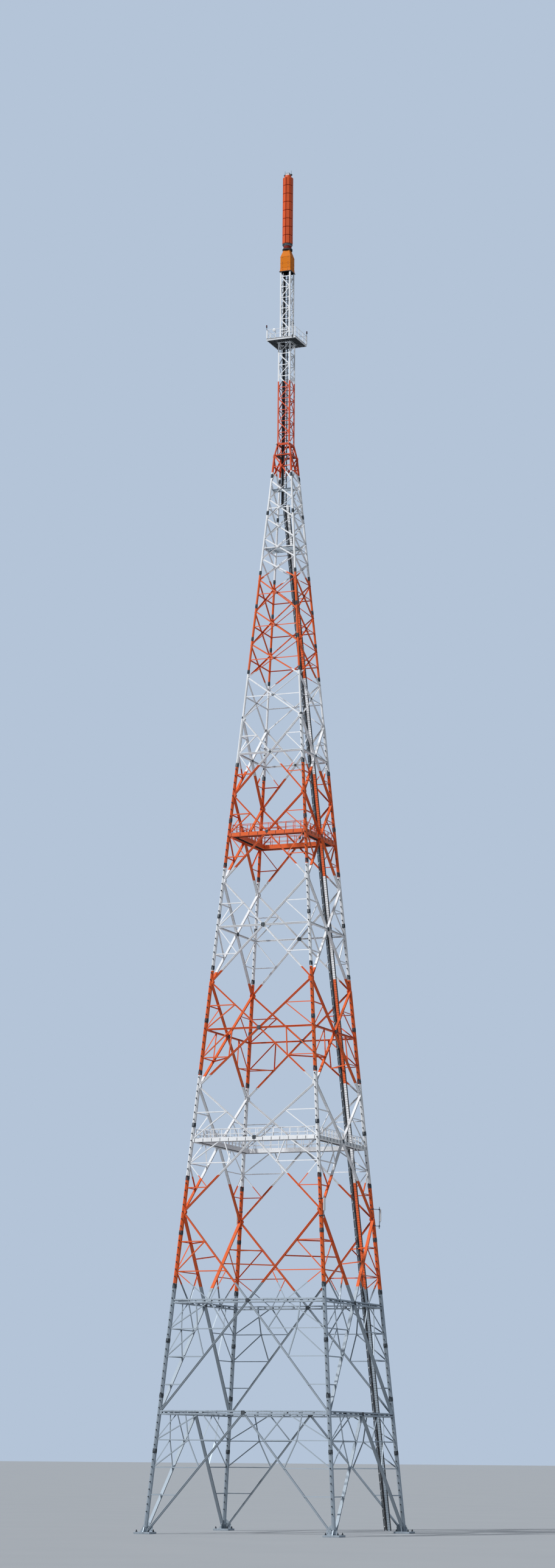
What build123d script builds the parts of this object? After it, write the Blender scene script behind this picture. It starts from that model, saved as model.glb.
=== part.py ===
from build123d import *
from math import atan, degrees, sqrt
import os

# Radio mast: a four-legged steel lattice tower with two ring walkways, a slim square
# shaft with a platform, and a television antenna on top. It is a 1:10 scale model in
# millimetres, with +Z up and the origin on the ground at the tower's centre line.
# The front side faces -Y.

# Tower body: the leg axes lean inwards at a constant slope up to the neck
base_half_width = 1109
neck_half_width = 102
neck_level = 12490
taper = (base_half_width - neck_half_width) / neck_level
stretch = sqrt(1 + taper**2)
clearance = 0.3

# Levels where the diagonals meet the legs, and where they cross in mid side
base_ring_level = 1308
deep_ring_level = 2526
lower_joint_level = 3517
lower_walkway_level = 4337
waist_joint_level = 4938
waist_ring_level = 5586
middle_joint_level = 6135
middle_ring_level = 6775
shoulder_joint_level = 7316
upper_walkway_level = 7871
collar_joint_level = 8327
collar_ring_level = 8822
upper_joint_level = 9245
middle_panel_levels = [upper_joint_level, 9746, 10149, 10554, 10943]
short_panel_levels = [10943, 11200, 11451, 11699, 11938, 12171, neck_level]

# Legs: round tubes drawn with a few flat sides, slimmer in each stretch upwards. The flange
# joints stand where each orange band begins.
tube_sides = 8
lower_leg_width = 46
middle_leg_width = 42
upper_leg_width = 36
top_leg_width = 26
flange_extra = 9
flange_thickness = 14
flange_levels = [2691, 5091, 7491, 9812]

# Bars: width across in the plane of the side, and depth square to it
diagonal_width = 16
diagonal_depth = 34
slim_diagonal_width = 11
slim_diagonal_depth = 18
deep_ring_width = 46
ring_width = 18
strut_width = 10
strut_depth = 14
light_bar_width = 8
base_strut_spacing = 296
deep_hanger_share = 0.64

# Feet
foot_plate_width = 190
foot_plate_thickness = 22
foot_stub_height = 90
foot_flange_thickness = 16
foot_rib_thickness = 10
foot_rib_reach = 34

# Ring walkways
walkway_width = 80
deck_thickness = 8
edge_beam_depth = 34
edge_beam_thickness = 6
rail_height = 112
rail_thickness = 5
rail_inset = 16
posts_per_side = 2

# Neck, where the tower body ends and the shaft begins
neck_plate_thickness = 16
neck_plate_margin = 20
neck_height = 132
neck_post_width = 16

# Shaft, whose upper part ends in plain post heads under the shroud
lower_shaft_half_width = 78
lower_shaft_bays = 9
upper_shaft_half_width = 65
upper_shaft_bays = 6
upper_shaft_head = 52
shaft_post_width = 11
shaft_bar_width = 6
shaft_bar_depth = 5

# Mast platform
platform_level = 13905
platform_half_width = 184
platform_thickness = 28
platform_rail_height = 112
platform_rail_thickness = 5
platform_rail_inset = 3

# Shroud under the antenna
shroud_level = 14797
shroud_skirt_half_width = 73
shroud_half_width = 66
shroud_top_half_width = 38
shroud_skirt_height = 48
shroud_body_height = 147
shroud_cap_height = 92

# Antenna: columns of panels around a central pole
antenna_pole_radius = 49
antenna_flange_radius = 61
antenna_flange_thickness = 14
antenna_neck_height = 78
antenna_bay_height = 106
antenna_bays = 8
antenna_columns = 8
panel_width = 38
panel_height = 97
panel_depth = 12
panel_reach = 62
crown_height = 30
crown_radius = 40
crown_box_width = 44
crown_box_height = 34
crown_rod_reach = 40
rod_height = 50
rod_radius = 3
rod_sides = 6

# Ladder and cable tray, parallel to the back right leg
ladder_inset_x = 124
tray_inset_x = 165
climb_inset_y = 144
climb_depth = 12
ladder_width = 42
ladder_rail = 6
tie_spacing = 1200
tray_width = 34
tray_wall = 4
climb_top_level = 11900
bracket_width = 8

# Cable riser and ladder inside the shaft, side by side from the left edge of the plates' holes
riser_radius = 12
plate_hole_half = upper_shaft_half_width - shaft_post_width
landing_thickness = 8
landing_corner = 8

# Panel aerials on three legs, each on a pipe held off the leg by two arms
aerial_pipe_bottom_level = 3414
aerial_pipe_height = 250
aerial_pipe_radius = 5
aerial_arm_rise = 30
aerial_arm_width = 8
aerial_stand_off = 70
aerial_bottom_rise = 82
aerial_height = 140
aerial_width = 26
aerial_depth = 14

# Warning lamps on two corners of the mast platform
lamp_radius = 11
lamp_height = 26
lamp_stalk_height = 28
lamp_stalk_radius = 4

corner_turns = {"front_left": 0, "front_right": 90, "back_right": 180, "back_left": 270}
side_turns = {"front": 0, "right": 90, "back": 180, "left": 270}

os.makedirs("parts", exist_ok=True)


def half_width(level):
    return base_half_width - taper * level


def on_side(across, level):
    return (across, level * stretch)


def save(part, name):
    part.label = name
    export_step(part, f"parts/{name}.step")


# The front side's plane leans back with the legs
front_plane = Plane(origin=(0, -base_half_width, 0), x_dir=(1, 0, 0), z_dir=(0, -1, taper))


# The front left leg's cross-section plane at a level
def leg_plane(level):
    reach = half_width(level)
    return Plane(origin=(-reach, -reach, level), x_dir=(1, 0, -taper), z_dir=(taper, taper, 1))


leg_stretches = [
    (0, lower_joint_level, lower_leg_width),
    (lower_joint_level, middle_joint_level, middle_leg_width),
    (middle_joint_level, upper_joint_level, upper_leg_width),
    (upper_joint_level, neck_level, top_leg_width),
]


def leg_width(level):
    return [width for low, high, width in leg_stretches if low <= level][-1]


# Legs
tube_turn = 180 / tube_sides
leg_bottom_level = foot_stub_height
along_leg = sqrt(1 + 2 * taper**2)
with BuildPart() as front_left_leg:
    for low, high, width in leg_stretches:
        with BuildSketch(leg_plane(low)):
            RegularPolygon(width / 2, tube_sides, major_radius=False, rotation=tube_turn)
        extrude(amount=(high - low) * along_leg)
    for level in flange_levels:
        with BuildSketch(leg_plane(level)):
            flange_reach = leg_width(level) / 2 + flange_extra
            RegularPolygon(flange_reach, tube_sides, major_radius=False, rotation=tube_turn)
        extrude(amount=flange_thickness / 2, both=True)
    split(bisect_by=Plane.XY.offset(leg_bottom_level), keep=Keep.TOP)
    with BuildSketch(Plane.XY.offset(neck_level)):
        with Locations((-neck_half_width, -neck_half_width)):
            Rectangle(4 * top_leg_width, 4 * top_leg_width)
    extrude(amount=top_leg_width, mode=Mode.SUBTRACT)

for corner, turn in corner_turns.items():
    with BuildPart() as leg:
        add(front_left_leg.part, rotation=(0, 0, turn))
    save(leg.part, f"{corner}_leg")

# Feet: an anchor plate, a stub with four ribs, and the flange that the leg stands on
with BuildPart() as front_left_foot:
    with BuildSketch():
        with Locations((-base_half_width, -base_half_width)):
            Rectangle(foot_plate_width, foot_plate_width)
    extrude(amount=foot_plate_thickness)
    with BuildSketch(leg_plane(0)):
        RegularPolygon(lower_leg_width / 2, tube_sides, major_radius=False, rotation=tube_turn)
    extrude(amount=foot_stub_height * along_leg)
    with BuildSketch(leg_plane(foot_stub_height)):
        flange_reach = lower_leg_width / 2 + flange_extra
        RegularPolygon(flange_reach, tube_sides, major_radius=False, rotation=tube_turn)
    extrude(amount=foot_flange_thickness, both=True)
    for turn in (0, 90):
        rib_plane = Plane((-base_half_width, -base_half_width, 0), z_dir=(0, -1, 0))
        rib_plane = rib_plane.rotated((0, 0, turn))
        with BuildSketch(rib_plane):
            half_rib = lower_leg_width / 2 + foot_rib_reach
            Polygon(
                (-half_rib, 0),
                (half_rib, 0),
                (lower_leg_width / 2, foot_stub_height),
                (-lower_leg_width / 2, foot_stub_height),
                align=None,
            )
        extrude(amount=foot_rib_thickness / 2, both=True)
    split(bisect_by=Plane.XY, keep=Keep.TOP)
    split(bisect_by=Plane.XY.offset(leg_bottom_level), keep=Keep.BOTTOM)

for corner, turn in corner_turns.items():
    with BuildPart() as foot:
        add(front_left_foot.part, rotation=(0, 0, turn))
    save(foot.part, f"{corner}_foot")


# Lattice sides. Each helper returns bars as pairs of (across, level) points, both halves.
def both_halves(bars):
    mirrored = [((-start[0], start[1]), (-end[0], end[1])) for start, end in bars]
    return bars + mirrored


def between(start, end, share):
    return (start[0] + share * (end[0] - start[0]), start[1] + share * (end[1] - start[1]))


# A point on the diagonal that runs from mid side at one level to the leg at another
def on_diagonal(mid_level, leg_level, level):
    share = (level - mid_level) / (leg_level - mid_level)
    return (half_width(leg_level) * share, level)


def on_leg(level):
    return (half_width(level), level)


# A full bay: two diagonals that cross in mid side at the ring
def bay_diagonals(lower, ring, upper):
    bars = [(on_leg(lower), (0, ring))]
    bars.append(((0, ring), on_leg(upper)))
    return both_halves(bars)


def level_strut(ring, joint):
    level = (ring + joint) / 2
    return both_halves([(on_diagonal(ring, joint, level), on_leg(level))])


def short_struts(ring, joint):
    level = (ring + joint) / 2
    inner = on_diagonal(ring, joint, level)
    return both_halves([(inner, on_leg(level)), (inner, on_leg(ring))])


def hung_struts(ring, joint):
    level = (ring + joint) / 2
    inner = on_diagonal(ring, joint, level)
    hanger = (half_width(ring) / 2, ring)
    return both_halves([(inner, on_leg(level)), (hanger, inner), (hanger, on_leg(level))])


def deep_struts(ring, joint, levels):
    inner = [on_diagonal(ring, joint, level) for level in levels]
    outer = [on_leg(level) for level in levels]
    bars = list(zip(inner, outer))
    middle = between(inner[0], outer[0], 0.5)
    hanger = (half_width(ring) * deep_hanger_share, ring)
    bars += [(hanger, inner[0]), (hanger, outer[0]), (middle, inner[1]), (middle, outer[1])]
    return both_halves(bars)


def third_struts(ring, joint):
    low = ring + (joint - ring) / 3
    high = ring + (joint - ring) * 2 / 3
    low_inner = on_diagonal(ring, joint, low)
    high_inner = on_diagonal(ring, joint, high)
    hanger = (half_width(ring) / 2, ring)
    bars = [(low_inner, on_leg(low)), (high_inner, on_leg(high))]
    bars += [(hanger, on_leg(low)), (hanger, low_inner)]
    return both_halves(bars)


def ring_bar(level):
    return [((-half_width(level), level), (half_width(level), level))]


def steps(bottom, top, count):
    return [top - (top - bottom) * step / count for step in range(1, count)]


# One stretch of a side: bars in groups of (bars, width, depth), cut back to the legs
def lattice_stretch(groups, bottom, top, leg):
    inset = (leg / 2 + clearance) * stretch
    with BuildPart() as side:
        for bars, width, depth in groups:
            with BuildSketch(front_plane):
                for start, end in bars:
                    trace(Edge.make_line(on_side(*start), on_side(*end)), line_width=width)
                Polygon(
                    on_side(-half_width(bottom) + inset, bottom),
                    on_side(half_width(bottom) - inset, bottom),
                    on_side(half_width(top) - inset, top),
                    on_side(-half_width(top) + inset, top),
                    align=None,
                    mode=Mode.INTERSECT,
                )
                for level in flange_levels:
                    if bottom < level < top:
                        for edge in (-1, 1):
                            with Locations(on_side(edge * half_width(level), level)):
                                Rectangle(
                                    leg + 2 * flange_extra + 2 * clearance,
                                    flange_thickness + 2 * clearance,
                                    mode=Mode.SUBTRACT,
                                )
            extrude(amount=depth / 2, both=True)
    return side.part


base_top = base_ring_level + deep_ring_width / 2
base_steps = [base_ring_level - base_strut_spacing * step for step in (1, 2, 3)]
base_feet = [(on_leg(0), (0, base_ring_level))]
stretches = {}
stretches["base"] = lattice_stretch(
    [
        (both_halves(base_feet), diagonal_width, diagonal_depth),
        (ring_bar(base_ring_level), deep_ring_width, diagonal_depth),
        (deep_struts(base_ring_level, 0, base_steps), strut_width, strut_depth),
    ],
    foot_stub_height + foot_flange_thickness,
    base_top,
    lower_leg_width,
)
lower_steps = steps(base_ring_level, deep_ring_level, 4)
stretches["lower"] = lattice_stretch(
    [
        (bay_diagonals(base_ring_level, deep_ring_level, lower_joint_level), diagonal_width, diagonal_depth),
        (ring_bar(deep_ring_level), deep_ring_width, diagonal_depth),
        (deep_struts(deep_ring_level, base_ring_level, lower_steps), strut_width, strut_depth),
        (third_struts(deep_ring_level, lower_joint_level), strut_width, strut_depth),
    ],
    base_top + clearance,
    lower_joint_level - clearance / 2,
    lower_leg_width,
)
walkway_beam_drop = edge_beam_depth / 2
stretches["middle"] = lattice_stretch(
    [
        (
            bay_diagonals(lower_joint_level, lower_walkway_level, waist_joint_level)
            + bay_diagonals(waist_joint_level, waist_ring_level, middle_joint_level),
            diagonal_width,
            diagonal_depth,
        ),
        (ring_bar(lower_walkway_level - walkway_beam_drop), edge_beam_depth, diagonal_depth),
        (ring_bar(waist_ring_level), ring_width, diagonal_depth),
        (
            third_struts(lower_walkway_level, lower_joint_level)
            + short_struts(lower_walkway_level, waist_joint_level)
            + hung_struts(waist_ring_level, waist_joint_level)
            + short_struts(waist_ring_level, middle_joint_level),
            strut_width,
            strut_depth,
        ),
    ],
    lower_joint_level + clearance / 2,
    middle_joint_level - clearance / 2,
    middle_leg_width,
)
stretches["upper"] = lattice_stretch(
    [
        (
            bay_diagonals(middle_joint_level, middle_ring_level, shoulder_joint_level)
            + bay_diagonals(shoulder_joint_level, upper_walkway_level, collar_joint_level)
            + bay_diagonals(collar_joint_level, collar_ring_level, upper_joint_level),
            diagonal_width,
            diagonal_depth,
        ),
        (ring_bar(upper_walkway_level - walkway_beam_drop), edge_beam_depth, diagonal_depth),
        (ring_bar(middle_ring_level) + ring_bar(collar_ring_level), ring_width, diagonal_depth),
        (
            level_strut(middle_ring_level, middle_joint_level)
            + level_strut(middle_ring_level, shoulder_joint_level)
            + level_strut(upper_walkway_level, shoulder_joint_level)
            + level_strut(upper_walkway_level, collar_joint_level)
            + level_strut(collar_ring_level, collar_joint_level)
            + level_strut(collar_ring_level, upper_joint_level),
            strut_width,
            strut_depth,
        ),
    ],
    middle_joint_level + clearance / 2,
    upper_joint_level - clearance / 2,
    upper_leg_width,
)


# In the top stretch the diagonals of each panel cross where straight lines meet
def crossing_level(low, high):
    share = half_width(low) / (half_width(low) + half_width(high))
    return low + share * (high - low)


def panel_diagonals(levels):
    bars = []
    for low, high in zip(levels, levels[1:]):
        bars += bay_diagonals(low, crossing_level(low, high), high)
    return bars


top_panel_levels = middle_panel_levels + short_panel_levels[1:]
top_ring_pairs = list(zip(middle_panel_levels, middle_panel_levels[1:]))
top_ring_pairs += [tuple(short_panel_levels[1:3]), tuple(short_panel_levels[4:6])]
top_rings = []
for low, high in top_ring_pairs:
    top_rings += ring_bar(crossing_level(low, high))
stretches["top"] = lattice_stretch(
    [
        (panel_diagonals(top_panel_levels), slim_diagonal_width, slim_diagonal_depth),
        (top_rings, light_bar_width, slim_diagonal_depth),
    ],
    upper_joint_level + clearance / 2,
    neck_level - clearance,
    top_leg_width,
)

for side, turn in side_turns.items():
    for height, stretch_part in stretches.items():
        with BuildPart() as lattice:
            add(stretch_part, rotation=(0, 0, turn))
        save(lattice.part, f"{side}_{height}_lattice")


# Walkways: a square ring deck inside the faces, an inner edge beam, and rails on both edges
def ring_sketch(outer, inner):
    Rectangle(2 * outer, 2 * outer)
    Rectangle(2 * inner, 2 * inner, mode=Mode.SUBTRACT)


def post_spots(reach):
    pitch = 2 * reach / posts_per_side
    spots = []
    for step in range(posts_per_side):
        run = -reach + pitch * step
        spots += [(run, -reach), (reach, run), (-run, reach), (-reach, -run)]
    return spots


def ring_walkway(level):
    outer = half_width(level) - (diagonal_depth / 2 + clearance) * stretch
    inner = outer - walkway_width
    with BuildPart() as walkway:
        with BuildSketch(Plane.XY.offset(level - deck_thickness)):
            ring_sketch(outer, inner)
        extrude(amount=deck_thickness)
        with BuildSketch(Plane.XY.offset(level - edge_beam_depth)):
            ring_sketch(inner + edge_beam_thickness, inner)
        extrude(amount=edge_beam_depth)
        for reach in (outer - rail_inset, inner + rail_thickness):
            with BuildSketch(Plane.XY.offset(level + rail_height - rail_thickness)):
                ring_sketch(reach + rail_thickness / 2, reach - rail_thickness / 2)
            extrude(amount=rail_thickness)
            with BuildSketch(Plane.XY.offset(level)):
                with Locations(post_spots(reach)):
                    Rectangle(rail_thickness, rail_thickness)
            extrude(amount=rail_height)
    return walkway.part


save(ring_walkway(lower_walkway_level), "lower_walkway")
save(ring_walkway(upper_walkway_level), "upper_walkway")

# Neck: two square plates with leaning corner posts between them
neck_top_level = neck_level + neck_height
with BuildPart() as neck_frame:
    with BuildSketch(Plane.XY.offset(neck_level)):
        ring_sketch(neck_half_width + neck_plate_margin, plate_hole_half)
    extrude(amount=neck_plate_thickness)
    with BuildSketch(Plane.XY.offset(neck_top_level)):
        ring_sketch(lower_shaft_half_width + neck_plate_margin / 2, plate_hole_half)
    extrude(amount=neck_plate_thickness)
    lean = neck_half_width + neck_post_width / 2 - lower_shaft_half_width
    for side_x in (-1, 1):
        for side_y in (-1, 1):
            with BuildSketch(Plane.XY.offset(neck_level)):
                with Locations((side_x * neck_half_width, side_y * neck_half_width)):
                    Rectangle(neck_post_width, neck_post_width)
            post_run = Vector(-side_x * lean, -side_y * lean, neck_height)
            extrude(amount=post_run.length, dir=post_run)
save(neck_frame.part, "neck_frame")


# Shafts: four angle posts with one diagonal in each bay, leaning to and fro
def lattice_shaft(bottom, top, reach, bays, head=0):
    lattice_height = top - head - bottom
    bay = lattice_height / bays
    post_reach = reach - shaft_post_width / 2
    with BuildPart() as shaft:
        with BuildSketch(Plane.XY.offset(bottom)):
            with GridLocations(2 * post_reach, 2 * post_reach, 2, 2):
                Rectangle(shaft_post_width, shaft_post_width)
        extrude(amount=top - bottom)
        for turn in side_turns.values():
            outward = Vector(0, -1, 0).rotate(Axis.Z, turn)
            along = Vector(1, 0, 0).rotate(Axis.Z, turn)
            with BuildSketch(Plane(outward * post_reach, x_dir=along, z_dir=outward)):
                for step in range(bays):
                    low = bottom + bay * step
                    lean = post_reach if step % 2 else -post_reach
                    trace(Edge.make_line((lean, low), (-lean, low + bay)), line_width=shaft_bar_width)
                with Locations((0, bottom + lattice_height / 2)):
                    Rectangle(2 * post_reach, lattice_height, mode=Mode.INTERSECT)
            extrude(amount=shaft_bar_depth / 2, both=True)
    return shaft.part


shaft_bottom_level = neck_top_level + neck_plate_thickness
platform_top_level = platform_level + platform_thickness
lower_shaft = lattice_shaft(
    shaft_bottom_level,
    platform_level,
    lower_shaft_half_width,
    lower_shaft_bays,
)
save(lower_shaft, "lower_shaft")
upper_shaft = lattice_shaft(
    platform_top_level,
    shroud_level,
    upper_shaft_half_width,
    upper_shaft_bays,
    upper_shaft_head,
)
save(upper_shaft, "upper_shaft")

# Mast platform: a deck on the lower shaft, with rails round its edge
platform_rail_reach = platform_half_width - platform_rail_inset
with BuildPart() as mast_platform:
    with BuildSketch(Plane.XY.offset(platform_level)):
        ring_sketch(platform_half_width, plate_hole_half)
    extrude(amount=platform_thickness)
    for height in (platform_rail_height / 2, platform_rail_height):
        half_rail = platform_rail_thickness / 2
        with BuildSketch(Plane.XY.offset(platform_top_level + height - platform_rail_thickness)):
            ring_sketch(platform_rail_reach + half_rail, platform_rail_reach - half_rail)
        extrude(amount=platform_rail_thickness)
    with BuildSketch(Plane.XY.offset(platform_top_level)):
        with Locations(post_spots(platform_rail_reach)):
            Rectangle(platform_rail_thickness, platform_rail_thickness)
    extrude(amount=platform_rail_height)
save(mast_platform.part, "mast_platform")

# Shroud: a square cover with a flared skirt and a tapered cap
shroud_body_level = shroud_level + shroud_skirt_height
shroud_cap_level = shroud_body_level + shroud_body_height
skirt_taper = degrees(atan((shroud_skirt_half_width - shroud_half_width) / shroud_skirt_height))
cap_taper = degrees(atan((shroud_half_width - shroud_top_half_width) / shroud_cap_height))
with BuildPart() as antenna_shroud:
    with BuildSketch(Plane.XY.offset(shroud_level)):
        Rectangle(2 * shroud_skirt_half_width, 2 * shroud_skirt_half_width)
    extrude(amount=shroud_skirt_height, taper=skirt_taper)
    with BuildSketch(Plane.XY.offset(shroud_body_level)):
        Rectangle(2 * shroud_half_width, 2 * shroud_half_width)
    extrude(amount=shroud_body_height)
    with BuildSketch(Plane.XY.offset(shroud_cap_level)):
        Rectangle(2 * shroud_half_width, 2 * shroud_half_width)
    extrude(amount=shroud_cap_height, taper=cap_taper)
save(antenna_shroud.part, "antenna_shroud")

# Antenna pole: a neck between two flanges, then an octagonal body that carries the panels
pole_level = shroud_cap_level + shroud_cap_height
panel_level = pole_level + antenna_neck_height
pole_top_level = panel_level + antenna_bays * antenna_bay_height
with BuildPart() as antenna_pole:
    with BuildSketch(Plane.XY.offset(pole_level)):
        RegularPolygon(antenna_pole_radius, antenna_columns)
    extrude(amount=antenna_neck_height)
    with BuildSketch(Plane.XY.offset(panel_level)):
        RegularPolygon(panel_reach - panel_depth - clearance, antenna_columns, major_radius=False)
    extrude(amount=pole_top_level - panel_level)
    for flange_level in (pole_level, panel_level - antenna_flange_thickness):
        with BuildSketch(Plane.XY.offset(flange_level)):
            RegularPolygon(antenna_flange_radius, antenna_columns)
        extrude(amount=antenna_flange_thickness)
    with BuildSketch(Plane.XY.offset(pole_top_level)):
        RegularPolygon(crown_radius, antenna_columns, major_radius=False)
    extrude(amount=crown_height)
save(antenna_pole.part, "antenna_pole")

# Antenna panels: one flat box for each bay and column, standing off the pole
panel_centre = panel_reach - panel_depth / 2
with BuildPart() as antenna_panels:
    for bay in range(antenna_bays):
        panel_bottom = panel_level + antenna_bay_height * bay + (antenna_bay_height - panel_height) / 2
        with BuildSketch(Plane.XY.offset(panel_bottom)):
            with PolarLocations(panel_centre, antenna_columns, start_angle=180 / antenna_columns):
                Rectangle(panel_depth, panel_width)
        extrude(amount=panel_height)
save(antenna_panels.part, "antenna_panels")

# Crown on top of the pole: an equipment box between two drive housings, and two thin rods
crown_top_level = pole_top_level + crown_height
with BuildPart() as antenna_crown:
    with BuildSketch(Plane.XY.offset(crown_top_level)):
        Rectangle(crown_box_width, crown_box_width)
    extrude(amount=crown_box_height)
    with BuildSketch(Plane.XY.offset(crown_top_level)):
        with Locations((-crown_rod_reach, 0), (crown_rod_reach, 0)):
            Rectangle(2 * crown_rod_reach - crown_box_width, crown_box_width / 2)
    extrude(amount=crown_box_height / 2)
    with BuildSketch(Plane.XY.offset(crown_top_level + crown_box_height / 2)):
        with Locations((-crown_rod_reach, 0), (crown_rod_reach, 0)):
            RegularPolygon(rod_radius, rod_sides)
    extrude(amount=rod_height)
save(antenna_crown.part, "antenna_crown")


# Ladder and cable tray climb along the inside of the back right leg, keeping their distance
def climb_plane(inset_x, level):
    reach = half_width(level)
    origin = (reach - inset_x, reach - climb_inset_y, level)
    return Plane(origin=origin, x_dir=(1, 0, taper), z_dir=(-taper, -taper, 1))


climb_length = climb_top_level * along_leg
riser_centre = clearance + riser_radius - plate_hole_half
ladder_centre = riser_centre + riser_radius + clearance + ladder_width / 2
with BuildPart() as access_ladder:
    with BuildSketch(climb_plane(ladder_inset_x, 0)):
        with GridLocations(ladder_width - ladder_rail, 0, 2, 1):
            Rectangle(ladder_rail, climb_depth)
    extrude(amount=climb_length)
    for level in range(tie_spacing // 2, climb_top_level, tie_spacing):
        with BuildSketch(climb_plane(ladder_inset_x, level)):
            Rectangle(ladder_width - ladder_rail, ladder_rail / 2)
        extrude(amount=ladder_rail / 2)
    split(bisect_by=Plane.XY, keep=Keep.TOP)
    split(bisect_by=Plane.XY.offset(climb_top_level), keep=Keep.BOTTOM)
    with BuildSketch(Plane.XY.offset(climb_top_level + clearance)):
        with Locations((ladder_centre, 0)):
            with GridLocations(ladder_width - ladder_rail, 0, 2, 1):
                Rectangle(ladder_rail, climb_depth)
    extrude(amount=shroud_level - climb_top_level - 2 * clearance)
    for level in range(climb_top_level + tie_spacing // 2, shroud_level, tie_spacing):
        with BuildSketch(Plane.XY.offset(level)):
            with Locations((ladder_centre, 0)):
                Rectangle(ladder_width - ladder_rail, ladder_rail / 2)
        extrude(amount=ladder_rail / 2)
save(access_ladder.part, "access_ladder")

with BuildPart() as cable_tray:
    with BuildSketch(climb_plane(tray_inset_x, 0)):
        Rectangle(tray_width, climb_depth)
        with Locations((0, -tray_wall)):
            Rectangle(tray_width - 2 * tray_wall, climb_depth, mode=Mode.SUBTRACT)
    extrude(amount=climb_length)
    split(bisect_by=Plane.XY, keep=Keep.TOP)
    split(bisect_by=Plane.XY.offset(climb_top_level), keep=Keep.BOTTOM)
save(cable_tray.part, "cable_tray")

with BuildPart() as cable_riser:
    with BuildSketch(Plane.XY.offset(climb_top_level + clearance)):
        with Locations((riser_centre, 0)):
            RegularPolygon(riser_radius, tube_sides, major_radius=False, rotation=tube_turn)
    extrude(amount=shroud_level - climb_top_level - 2 * clearance)
save(cable_riser.part, "cable_riser")


# Brackets run behind ladder and tray to the ring bar or the walkway beside them
def bracket_end(level, beam_depth):
    return half_width(level + bracket_width / 2) - (beam_depth / 2 + clearance) * stretch


def walkway_bracket_end(walkway_level):
    walkway_outer = half_width(walkway_level) - (diagonal_depth / 2 + clearance) * stretch
    return walkway_outer - walkway_width - clearance


ring_levels = [base_ring_level, deep_ring_level, waist_ring_level, middle_ring_level, collar_ring_level]
bracket_ends = {level: bracket_end(level, diagonal_depth) for level in ring_levels}
for walkway_level in (lower_walkway_level, upper_walkway_level):
    bracket_ends[walkway_level - walkway_beam_drop] = walkway_bracket_end(walkway_level)
for low, high in top_ring_pairs[:-1]:
    level = crossing_level(low, high)
    bracket_ends[level] = bracket_end(level, slim_diagonal_depth)
with BuildPart() as ladder_brackets:
    for level, end in bracket_ends.items():
        bracket_bottom = level - bracket_width / 2
        start = half_width(level) - tray_inset_x - tray_width / 2
        back = half_width(bracket_bottom) - climb_inset_y + (climb_depth / 2 + clearance) * stretch
        with BuildSketch(Plane.XY.offset(bracket_bottom)):
            with Locations((start, back)):
                Rectangle(end - start, bracket_width, align=(Align.MIN, Align.MIN))
        extrude(amount=bracket_width)
save(ladder_brackets.part, "ladder_brackets")

# Rest landings: plates on the ring bars, ending at the ladder's front
landing_levels = [crossing_level(low, high) for low, high in top_ring_pairs[-2:]]
ladder_front = half_width(landing_levels[0]) - climb_inset_y - (climb_depth / 2 + clearance) * stretch
landing_fronts = [ladder_front - landing_thickness * taper, -riser_radius - clearance]
with BuildPart() as rest_landings:
    for level, front in zip(landing_levels, landing_fronts):
        reach = half_width(level + landing_thickness / 2) - (slim_diagonal_depth / 2 + clearance) * stretch
        with BuildSketch(Plane.XY.offset(level - landing_thickness / 2)) as landing:
            with Locations((0, -reach)):
                Rectangle(2 * reach, front + reach, align=(Align.CENTER, Align.MIN))
            chamfer(landing.vertices().group_by(Axis.Y)[0], landing_corner)
        extrude(amount=landing_thickness)
save(rest_landings.part, "rest_landings")

# Panel aerials on three of the legs, built at the front left leg and turned to each corner
pipe_distance = sqrt(2) * half_width(aerial_pipe_bottom_level) + aerial_stand_off
outward = Plane(origin=(0, 0, 0), x_dir=(-1, -1, 0), z_dir=(0, 0, 1))
arm_levels = [
    aerial_pipe_bottom_level + aerial_arm_rise,
    aerial_pipe_bottom_level + aerial_pipe_height - aerial_arm_rise,
]
with BuildPart() as front_left_aerial:
    with BuildSketch(outward.offset(aerial_pipe_bottom_level)):
        with Locations((pipe_distance, 0)):
            RegularPolygon(aerial_pipe_radius, tube_sides)
    extrude(amount=aerial_pipe_height)
    with BuildSketch(outward.offset(aerial_pipe_bottom_level + aerial_bottom_rise)):
        with Locations((pipe_distance + aerial_pipe_radius + aerial_depth / 2 - clearance, 0)):
            Rectangle(aerial_depth, aerial_width)
    extrude(amount=aerial_height)
    for level in arm_levels:
        arm_bottom = level - aerial_arm_width / 2
        leg_face = sqrt(2) * half_width(arm_bottom) + leg_width(level) / 2 * along_leg
        arm_start = leg_face + clearance
        with BuildSketch(outward.offset(arm_bottom)):
            with Locations((arm_start, 0)):
                Rectangle(pipe_distance - arm_start, aerial_arm_width, align=(Align.MIN, Align.CENTER))
        extrude(amount=aerial_arm_width)
with BuildPart() as leg_aerials:
    for corner in ("front_right", "back_right", "back_left"):
        add(front_left_aerial.part, rotation=(0, 0, corner_turns[corner]))
save(leg_aerials.part, "leg_aerials")

# Warning lamps on stalks over two corner posts of the platform rails
lamp_bottom_level = platform_top_level + platform_rail_height + clearance
with BuildPart() as warning_lamps:
    for corner in (-1, 1):
        with BuildSketch(Plane.XY.offset(lamp_bottom_level)):
            with Locations((corner * platform_rail_reach, corner * platform_rail_reach)):
                RegularPolygon(lamp_stalk_radius, tube_sides)
        extrude(amount=lamp_stalk_height)
        with BuildSketch(Plane.XY.offset(lamp_bottom_level + lamp_stalk_height)):
            with Locations((corner * platform_rail_reach, corner * platform_rail_reach)):
                RegularPolygon(lamp_radius, tube_sides)
        extrude(amount=lamp_height)
save(warning_lamps.part, "warning_lamps")
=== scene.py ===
import math

import bpy
from mathutils import Matrix, Vector


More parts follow.
